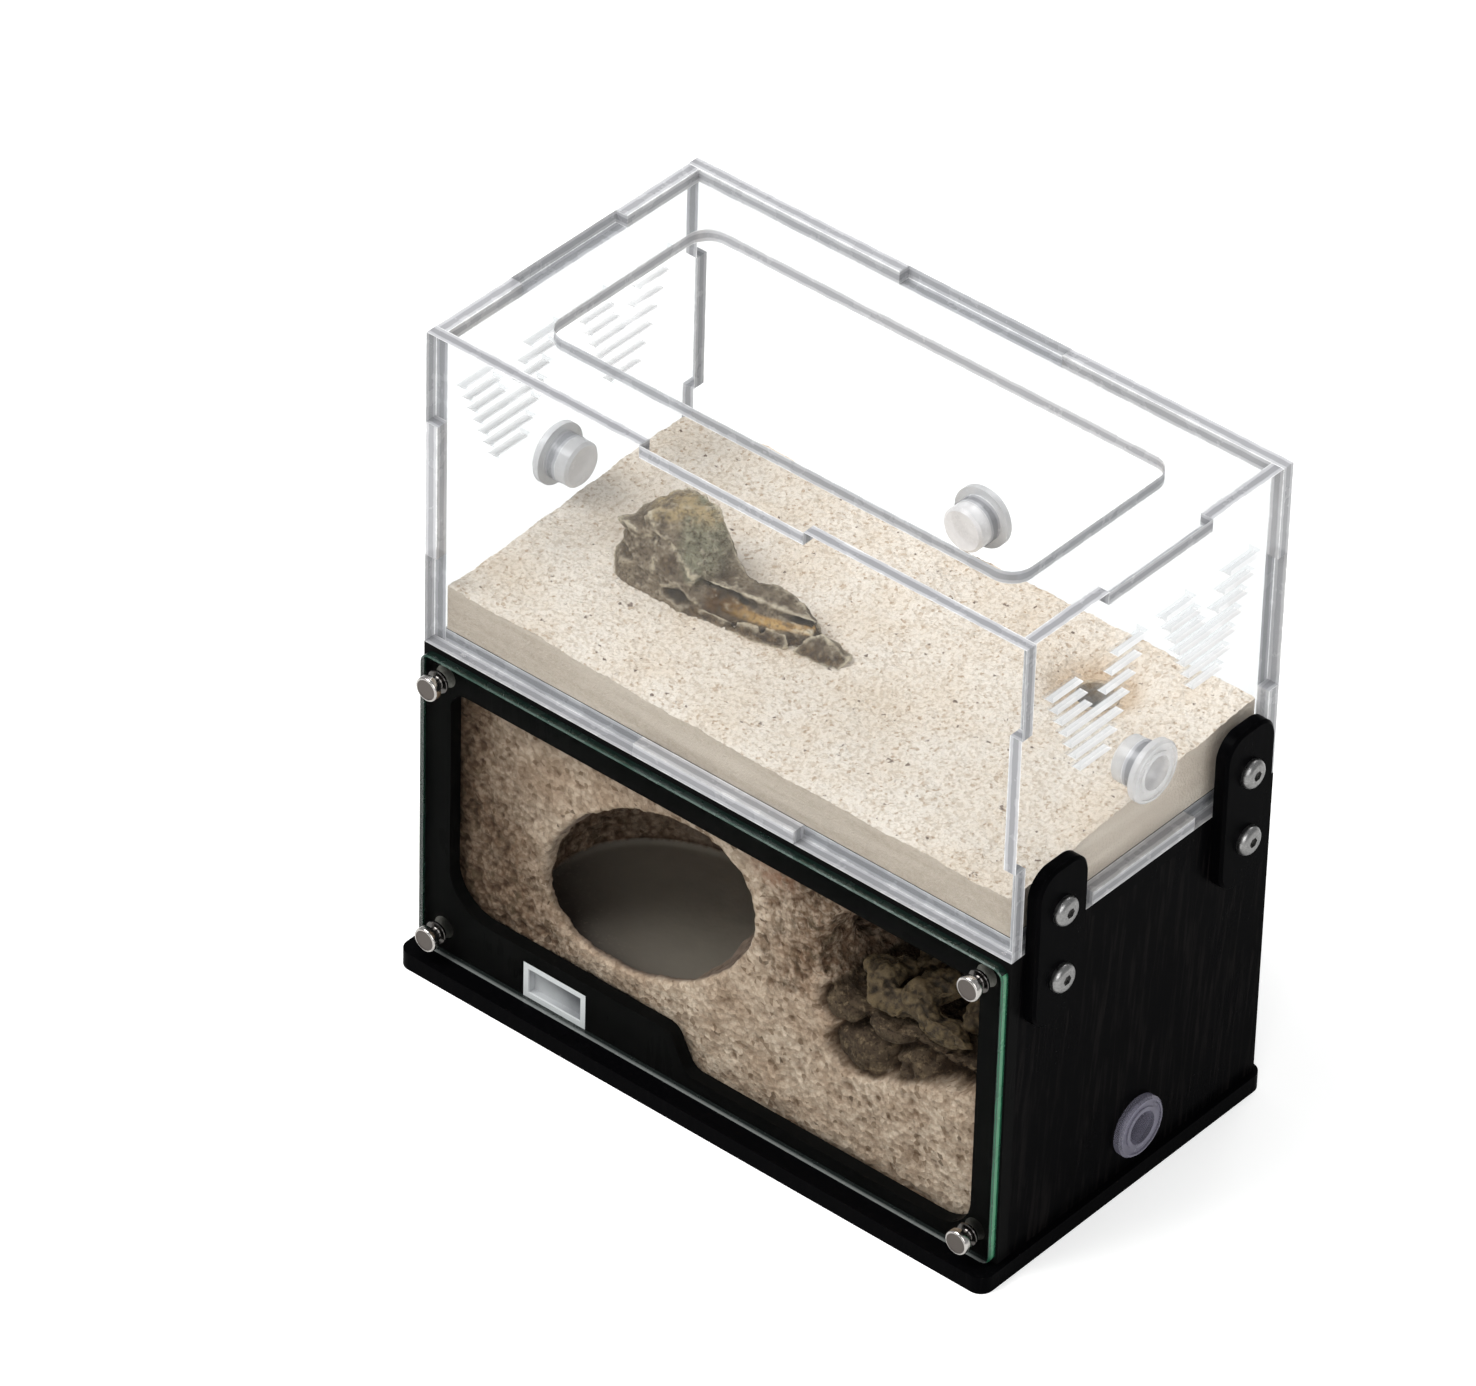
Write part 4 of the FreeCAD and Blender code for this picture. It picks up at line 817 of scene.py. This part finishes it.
def build_nest_rocks():
    """Angular brown stones, piled on the floor of the grotto."""
    draw = np.random.default_rng(23)
    blocks = []
    for middle, half in NEST_ROCKS:
        directions = draw.normal(size=(20, 3))
        directions /= np.linalg.norm(directions, axis=1)[:, None]
        corners = np.array(middle) + directions * np.array(half)
        corners[:, 2] = np.maximum(corners[:, 2], GROTTO_FLOOR)
        blocks.append(corners.tolist())
    mesh = remeshed(joined_hulls(blocks), REMESH_ROCKS)
    p, n = surface(mesh)
    rounding = np.clip(hollowness(mesh, 30), -1.6, 1.2)
    bulge = 1.3 * noise_at(p, 6, 4, gain=0.6, seed=3) - 0.8 * np.abs(noise_at(p, 2.4, 2, seed=9)) + rounding
    bulge = np.clip(bulge, -2.4, 0.3) * smooth_step(p[:, 2], GROTTO_FLOOR, GROTTO_FLOOR + 0.7)
    set_positions(mesh, p + n * bulge[:, None])
    # painted highlight on ridges and painted shade in creases
    hollow = hollowness(mesh, 10)
    set_masks(mesh, ridge=smooth_step(-hollow, 0.05, 0.3) * 0.5, crease=smooth_step(hollow, 0.03, 0.2) * 0.9)
    return add_piece("nest_rocks_rough", mesh, nest_stone_material(), "nest_rocks")


STONE_BLOCKS = [
    # each block's corners; the stone is all of them together
    [(-49.5, -13.1, 92), (-43.5, -13.1, 92), (-37.6, -13.1, 92), (-32.5, -13.1, 92), (-52.2, -10, 95),
     (-52, -7.6, 99.6), (-50.5, -3, 104.4), (-45.5, 0.5, 108.4), (-43.1, 2, 109.8), (-38.6, 2, 110),
     (-34.8, 1.5, 109.4), (-33.1, -1, 106.5), (-29.4, -1, 101.8), (-25.6, -1, 98.7), (-44.9, -8, 108.2),
     (-31.5, -9.5, 99.9), (-50, -1, 92), (-44, 2.6, 92.5), (-27, 2.4, 92.8)],
    [(-34, -11.8, 96), (-33, -9.3, 99.3), (-27, -7.2, 98.2), (-25.8, -10, 93.8), (-28, -11.8, 92),
     (-34, -12.6, 92), (-30, -3, 92)],
    [(-54.0, -8, 102.8), (-53.7, -6, 101.3), (-47, -9.7, 104.4), (-46, -5, 106.2), (-47.5, -8.8, 99.9),
     (-44, -10, 101.5)],
    [(-33, -9, 99.5), (-27.6, -8, 99.6), (-25.8, -1, 98.7), (-20.7, -1, 98.7), (-13.9, 0, 99.8),
     (-11.2, 0, 98.2), (-6.2, -2, 97.5), (-5.5, -3, 98.2), (-16.8, -5.4, 97.3), (-30, 2.5, 92.8),
     (-12, 2.6, 93), (-6, -0.5, 93), (-28, -6, 94.5), (-8, -3, 94.5)],
    [(-29.5, -6.8, 98.0), (-17.6, -4.8, 96.4), (-6.6, -2.6, 97.4), (-25.8, -10, 93.4), (-12.9, -7.2, 95.5),
     (-5.4, -4.8, 96.9), (-26, -9.6, 92), (-5, -5, 92.5), (-28, -2, 92), (-6, -1, 92.5)],
    [(-33, -12.6, 92), (-31.5, -11.6, 94.6), (-22, -11.2, 92.2), (-29, -11, 94.5), (-23.8, -10.4, 94.7),
     (-20, -10.4, 92.2), (-24, -8, 92), (-21.3, -9.4, 94.2), (-34, -9, 92)],
    [(-21.5, -10.8, 92.2), (-15.5, -10, 92.3), (-20.5, -9.6, 94.9), (-15.8, -8.6, 95.3), (-14, -8.8, 92.4),
     (-18, -6, 92.4)],
    [(-15.5, -9.8, 92.3), (-9.5, -8.3, 92.4), (-14.6, -8.4, 95.8), (-10, -7.2, 95.5), (-8.6, -7.3, 92.5),
     (-12, -4, 92.5)],
    [(-8, -8, 92.4), (-2.4, -7.2, 92.6), (2.9, -6.9, 92.8), (3.6, -3.6, 94.2), (2.8, -2, 93.9),
     (-0.4, -2, 95.6), (-1.6, -4.2, 96.8), (-3.4, -4, 97.4), (-6.5, -6.5, 95.4), (-5, -1.5, 93)],
]
STONE_CREVICE = [(-31.5, -8.6, 98.7), (-28.4, -7.6, 98.6), (-17.0, -5.3, 96.7), (-5.9, -3.1, 97.8)]
STONE_VEINS = [
    [(-45.5, -8, 108.3), (-42.5, -8.6, 106), (-31.6, -9.6, 99.8), (-28, -8.2, 99.8)],
    [(-42.6, -9.2, 104.5), (-41.5, -10.6, 100.5), (-40.2, -11.9, 96.5)],
    [(-38.2, -12, 96.4), (-34, -11.2, 97.8), (-30.5, -9.8, 99.4)],
    [(-52.8, -8.6, 101.6), (-47, -9.9, 102.6), (-43, -9.6, 104.2)],
    [(-30, -11.2, 95), (-21, -9.6, 95), (-12, -7.6, 95.9), (-5, -5.2, 97.1)],
]
STONE_HOLLOWS = [
    # middle, half sizes, depth
    ((-34.2, -12.4, 95.2), (3.6, 2.4, 1.5), 1.5),
    ((-49.2, -10.6, 98.0), (3.2, 2.5, 1.2), 0.9),
    ((-42.2, -9.8, 104.0), (1.3, 1.6, 1.3), 0.7),
    ((-37.6, -11.0, 100.2), (2.6, 2.2, 2.3), 0.35),
]
# x and height along the seam and along the foot of the stone's right face; the height of the earth
# on its tail; and the heights over which its relief begins and its top turns tan
SEAM_TOP = [(-30, 98.4), (-17, 96.7), (-6, 97.7)]
SEAM_FOOT = [(-27, 94.2), (-13, 95.5), (-5, 96.6)]
RIGHT_FACE_FOOT = [(-32, 98.4), (-5, 99)]
TAIL_FROM, EARTH_TOP, RELIEF_FROM, TAN_FROM = -31, 95.2, (92.2, 93), (105.5, 108)


def distance_to_line(places, line):
    """How far each place is from a line through a few points."""
    best = np.full(len(places), 1e9)
    for start, end in zip(np.array(line[:-1], float), np.array(line[1:], float)):
        run = end - start
        share = np.clip((places - start) @ run / (run @ run), 0, 1)
        best = np.minimum(best, np.linalg.norm(places - start - share[:, None] * run, axis=1))
    return best


def joined_hulls(blocks):
    """One mesh of the convex hulls of several lists of corners."""
    whole = bmesh.new()
    for corners in blocks:
        part = bmesh.new()
        for corner in corners:
            part.verts.new(Vector(corner) * MM)
        hull = bmesh.ops.convex_hull(part, input=part.verts)
        spare = set(hull["geom_interior"] + hull["geom_unused"])
        bmesh.ops.delete(part, geom=[v for v in spare if isinstance(v, bmesh.types.BMVert)], context="VERTS")
        block = finished(part)
        whole.from_mesh(block)
        bpy.data.meshes.remove(block)
    return finished(whole)


def decor_stone_material():
    """Grey-green stone with pale veins, brown pits, an ochre seam, and painted shade in its crevice."""
    s = Shader("weathered_stone")
    body = s.mix(s.levels(s.noise(5, 5, 0.6), 0.36, 0.62), srgb(136, 121, 100), srgb(88, 73, 56))
    green = s.mix(s.levels(s.noise(2.2, 4), 0.35, 0.65), srgb(140, 138, 114), srgb(108, 105, 84))
    body = s.mix(s.attribute("green"), body, green)
    body = s.mix(s.levels(s.noise(1.3, 4, 0.68), 0.52, 0.68, 0, 0.5), body, srgb(178, 165, 142))
    body = s.mix(s.levels(s.noise(0.9, 4, 0.7), 0.37, 0.5, 0.85, 0.0), body, srgb(74, 60, 42))
    tan = s.times(s.attribute("tan"), s.levels(s.noise(3, 4, 0.6), 0.38, 0.56))
    body = s.mix(tan, body, srgb(166, 146, 108))
    brown = s.mix(s.levels(s.noise(1.2, 4, 0.7), 0.38, 0.6), srgb(112, 92, 66), srgb(64, 50, 36))
    body = s.mix(s.attribute("brown"), body, brown)
    seam = s.noise(1.6, 4, 0.55, stretch=(0.16, 1, 1))
    ochre = s.ramp(seam, [
        (0.3, srgb(104, 82, 46)), (0.46, srgb(168, 130, 76)),
        (0.6, srgb(192, 158, 102)), (0.78, srgb(134, 108, 64))])
    along_seam = s.levels(s.place("x"), -27, -14)
    ochre = s.mix(s.math("SUBTRACT", 1.0, along_seam), ochre, srgb(132, 116, 84), "MULTIPLY")
    body = s.mix(s.attribute("ochre"), body, ochre)
    # painted highlight on ridges, and painted shade in creases
    body = s.mix(s.attribute("ridge"), body, srgb(204, 192, 168))
    body = s.mix(s.attribute("crease"), body, srgb(74, 60, 42))
    pale = s.times(s.attribute("vein"), s.levels(s.noise(1.8), 0.38, 0.6))
    body = s.mix(pale, body, srgb(192, 180, 154))
    specks = s.levels(s.noise(0.55, 3, 0.6), 0.36, 0.46, 0.55, 0.0)
    body = s.mix(specks, body, srgb(70, 58, 44))
    # painted shade in the crevice and the deepest hollows
    body = s.mix(s.attribute("dark"), body, srgb(40, 33, 20))
    return stony(s, body, 0.55, 0.85, 0.4)


def build_decor_stone():
    """The loose stone: blocks melted together and weathered, with a crevice, veins, hollows and a seam."""
    mesh = remeshed(joined_hulls(STONE_BLOCKS), REMESH_STONE)
    p, n = surface(mesh)
    x, y, z = p.T
    warped = p + 0.6 * np.column_stack([noise_at(p, 3, 2, seed=s) for s in (5, 15, 25)])
    crevice = smooth_step(-distance_to_line(warped, STONE_CREVICE), -0.9, -0.25)
    vein = np.maximum.reduce([
        smooth_step(-distance_to_line(warped, line), -0.55, -0.15) for line in STONE_VEINS])
    hollow = hollowness(mesh, 30)
    bulge = 0.6 * noise_at(p, 5, 3, seed=60) + 0.34 * noise_at(p, 1.9, 2, seed=80)
    bulge -= 0.45 * np.abs(noise_at(p * (0.35, 1, 1.6), 3, 3, seed=33))
    # painted shade in the crevice; the loop below adds it in the deepest hollows
    dark = crevice * 0.9
    brown = smooth_step(EARTH_TOP + 0.5 * noise_at(p, 2, 2, seed=12) - z, 0, 0.8) * (x > TAIL_FROM)
    for middle, half, depth in STONE_HOLLOWS:
        within = 1 - smooth_step(np.linalg.norm((warped - middle) / half, axis=1), 0.6, 1.15)
        bulge -= depth * within
        brown = np.maximum(brown, within * min(1, 0.7 + depth * 0.3))
        dark = np.maximum(dark, within * max(0, depth - 0.6) * 0.7)
    bulge -= 0.7 * crevice
    bulge += 0.12 * vein
    bulge = np.clip(bulge, -2.0, 0.25) * smooth_step(z, *RELIEF_FROM)
    ochre = smooth_step(along(SEAM_TOP, x) - z, 0.0, 0.5) * smooth_step(z - along(SEAM_FOOT, x), -0.4, 0.2)
    ochre = ochre * (y < -3) * smooth_step(x, -30, -27)
    ochre *= smooth_step(-x, 4.4, 6) * smooth_step(noise_at(p, 2.2, 3, seed=71), -0.75, -0.35)
    right_face = smooth_step(x + 0.62 * (z - 99.8), -35.5, -33)
    right_face = right_face * smooth_step(z - along(RIGHT_FACE_FOOT, x), -0.5, 0.6)
    set_positions(mesh, p + n * bulge[:, None])
    fine = hollowness(mesh, 10)
    set_masks(
        mesh, brown=brown, ochre=ochre, dark=dark, vein=vein * (1 - crevice), tan=smooth_step(z, *TAN_FROM),
        green=right_face * smooth_step(-x, 27, 32) * 0.9,
        ridge=smooth_step(-hollow, 0.12, 0.6) * 0.7 + smooth_step(-fine, 0.05, 0.25) * 0.4,
        crease=smooth_step(hollow, 0.08, 0.5) * 0.8 + smooth_step(fine, 0.05, 0.25) * 0.4)
    return add_piece(
        "decor_stone_weathered", mesh, decor_stone_material(), "decor_stone", body="stone")


# ---------------- knobs
KNOB_PROFILE = [
    # distance from the axis, distance in front of the glass
    (0.0, 0.0), (2.45, 0.0), (2.55, 0.12), (2.55, 0.5), (2.42, 0.62), (1.55, 0.72), (1.42, 0.9), (1.42, 2.0),
    (1.55, 2.2), (2.5, 2.3), (2.68, 2.42), (2.73, 2.6), (2.73, 3.62), (2.66, 3.82), (2.5, 3.95), (2.3, 3.99),
    (2.18, 3.93), (2.1, 3.86), (0.0, 3.84)]
KNOB_SIDES = 64
# shares of the way along the profile: the waist ends at one, and the flat face begins at the other
KNOB_WAIST_SHARE, KNOB_FACE_SHARE = 0.52, 0.79
KNOB_RINGS = 420.0  # radians of the turned rings' wave, the whole way along


def knob_material():
    """Turned plated steel, rougher on its ringed face, with painted reflections: dark face and waist, bright
    rim.
    """
    s = Shader("knob_plated_steel")
    wear = s.noise(0.6, 4, 0.6)
    share = s.add("SeparateXYZ", {"Vector": s.add("TexCoord").outputs["UV"]}).outputs[0]
    rings = s.math("MULTIPLY_ADD", s.math("SINE", s.times(share, KNOB_RINGS)), 0.5, 0.5)
    face = s.math("GREATER_THAN", share, KNOB_FACE_SHARE)
    # painted reflection: the flat face darker than the bright rim
    tone = s.mix(face, srgb(206, 202, 198), srgb(100, 94, 90))
    # painted reflection of the black frame: the waist dark
    tone = s.mix(s.math("LESS_THAN", share, KNOB_WAIST_SHARE), tone, srgb(96, 94, 92))
    tone = s.mix(s.levels(wear, 0.42, 0.75, 0, 0.5), tone, srgb(104, 98, 94))
    rough = s.math("MULTIPLY_ADD", face, 0.16, s.levels(wear, 0.3, 0.7, 0.14, 0.24))
    return s.finish(s.solid(tone, rough, s.bump(rings, 0.004, 0.25), metallic=1.0))


def build_knob(node, material):
    """A turned knob: a foot on the glass, a waist and a bevelled disc."""
    low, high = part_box(node)
    x, z, back = (low[0] + high[0]) / 2, (low[2] + high[2]) / 2, high[1]
    bm = bmesh.new()
    uv = bm.loops.layers.uv.new("turned")
    travelled = [0.0]
    for (r0, d0), (r1, d1) in zip(KNOB_PROFILE, KNOB_PROFILE[1:]):
        travelled.append(travelled[-1] + math.hypot(r1 - r0, d1 - d0))
    rings = []
    for r, d in KNOB_PROFILE:
        turns = [2 * math.pi * k / KNOB_SIDES for k in range(KNOB_SIDES if r > 0 else 1)]
        rings.append([
            bm.verts.new((x + r * MM * math.cos(t), back - d * MM, z + r * MM * math.sin(t))) for t in turns])
    for i in range(len(rings) - 1):
        for k in range(KNOB_SIDES):
            corners = {}  # each corner and how far along the profile it is; one at the axis counts once
            for ring, turn in ((i, k), (i, k + 1), (i + 1, k + 1), (i + 1, k)):
                corners.setdefault(rings[ring][turn % len(rings[ring])], travelled[ring])
            face = bm.faces.new(list(corners))
            face.smooth = True
            for loop, place_along in zip(face.loops, corners.values()):
                loop[uv].uv = (place_along / travelled[-1], k / KNOB_SIDES)
    bmesh.ops.recalc_face_normals(bm, faces=bm.faces)
    for edge in bm.edges:
        edge.smooth = edge.calc_face_angle(0) < SHARP_KNOB
    return add_piece(node + "_turned", finished(bm), material, node, node)


# ---------------- CAD nodes that stay
# tint of the faces, and colours across the thickness of the cut edges, which carry painted light in bands
CLEAR_SHEET = dict(
    tint=(0.94, 0.945, 0.948, 1), core=srgb(150, 150, 153), body=srgb(186, 186, 189), rim=srgb(236, 236, 236))
HALF_THICKNESS = 1.5
SHEETS = {
    # node: (axis across the sheet, its middle)
    "outworld_front_wall": ("y", -38.5),
    "outworld_back_wall": ("y", 38.5),
    "outworld_left_wall": ("x", -73.5),
    "outworld_right_wall": ("x", 73.5),
    "outworld_top_plate": ("z", 152.5),
    "outworld_floor": ("z", 80.5),
}


def dress(node, material):
    """Gives every face of a CAD node one material."""
    data = nodes[node].data
    for k in range(len(data.materials)):
        data.materials[k] = material


def dress_frame():
    """Materials for the CAD's own meshes, and the drawn-in copies of its clear sheets."""
    for node, (axis, middle) in SHEETS.items():
        finish = clear_sheet(node + "_clear", axis, middle, HALF_THICKNESS, vented=axis == "x", **CLEAR_SHEET)
        drawn_in(node, node + "_sheet", finish)
    green_edge = clear_sheet(
        "pane_green_edge", "y", -41, 1, tint=(0.93, 0.938, 0.928, 1), core=srgb(84, 150, 114),
        body=srgb(36, 94, 68), rim=srgb(14, 52, 38), face_gloss=0, sheen_start=0.45, pane=True)
    drawn_in("glass_pane", "glass_pane_sheet", green_edge, "glass")
    dress("sight_window", frosted_window())
    dress("water_tank", clear_sheet(
        "tank_clear", "y", -29.2, 7.7, tint=(0.93, 0.95, 0.95, 1), core=srgb(170, 176, 178),
        body=srgb(185, 190, 192), rim=srgb(205, 210, 212), edge_solid=0.35))
    dress("passage_tube", dusty_tube())
    side = black_sheet("black_film_side", 1.0)
    plain = black_sheet("black_acrylic_plain", 0.12)
    for node in ("nest_right_panel", "nest_left_panel", "nest_back_panel"):
        dress(node, side)
    for node in ("base_plate", "nest_top_plate", "strap_front", "strap_back"):
        dress(node, plain)
    # painted reflection: the frame behind the glass is a lighter black, for the glass's sheen over it
    dress("front_frame", black_sheet("frame_black", 0.3, base=srgb(16, 16, 16)))
    dress("frame_magnets", steel("magnet_nickel", srgb(112, 110, 106), 0.3, 0.45))
    dress("strap_screws", steel("screw_zinc", srgb(158, 157, 156), 0.22, 0.4))
    plug = milky("plug_milky", srgb(236, 235, 235), 0.62)
    for node in ("plug_left", "plug_back"):
        dress(node, plug)
    dress("plug_right", milky("plug_milky_thin", srgb(244, 243, 242), 0.42))
    dress("plug_nest", milky("plug_smoky", srgb(150, 147, 164), 0.34))


# ---------------- the scene
build_camera()
build_world()
build_floor()
build_lamps()
dress_frame()
build_sand()
build_casting()
build_nest_rocks()
build_decor_stone()
knob_finish = knob_material()
for knob in ("knob_top_left", "knob_top_right", "knob_bottom_left", "knob_bottom_right"):
    build_knob(knob, knob_finish)
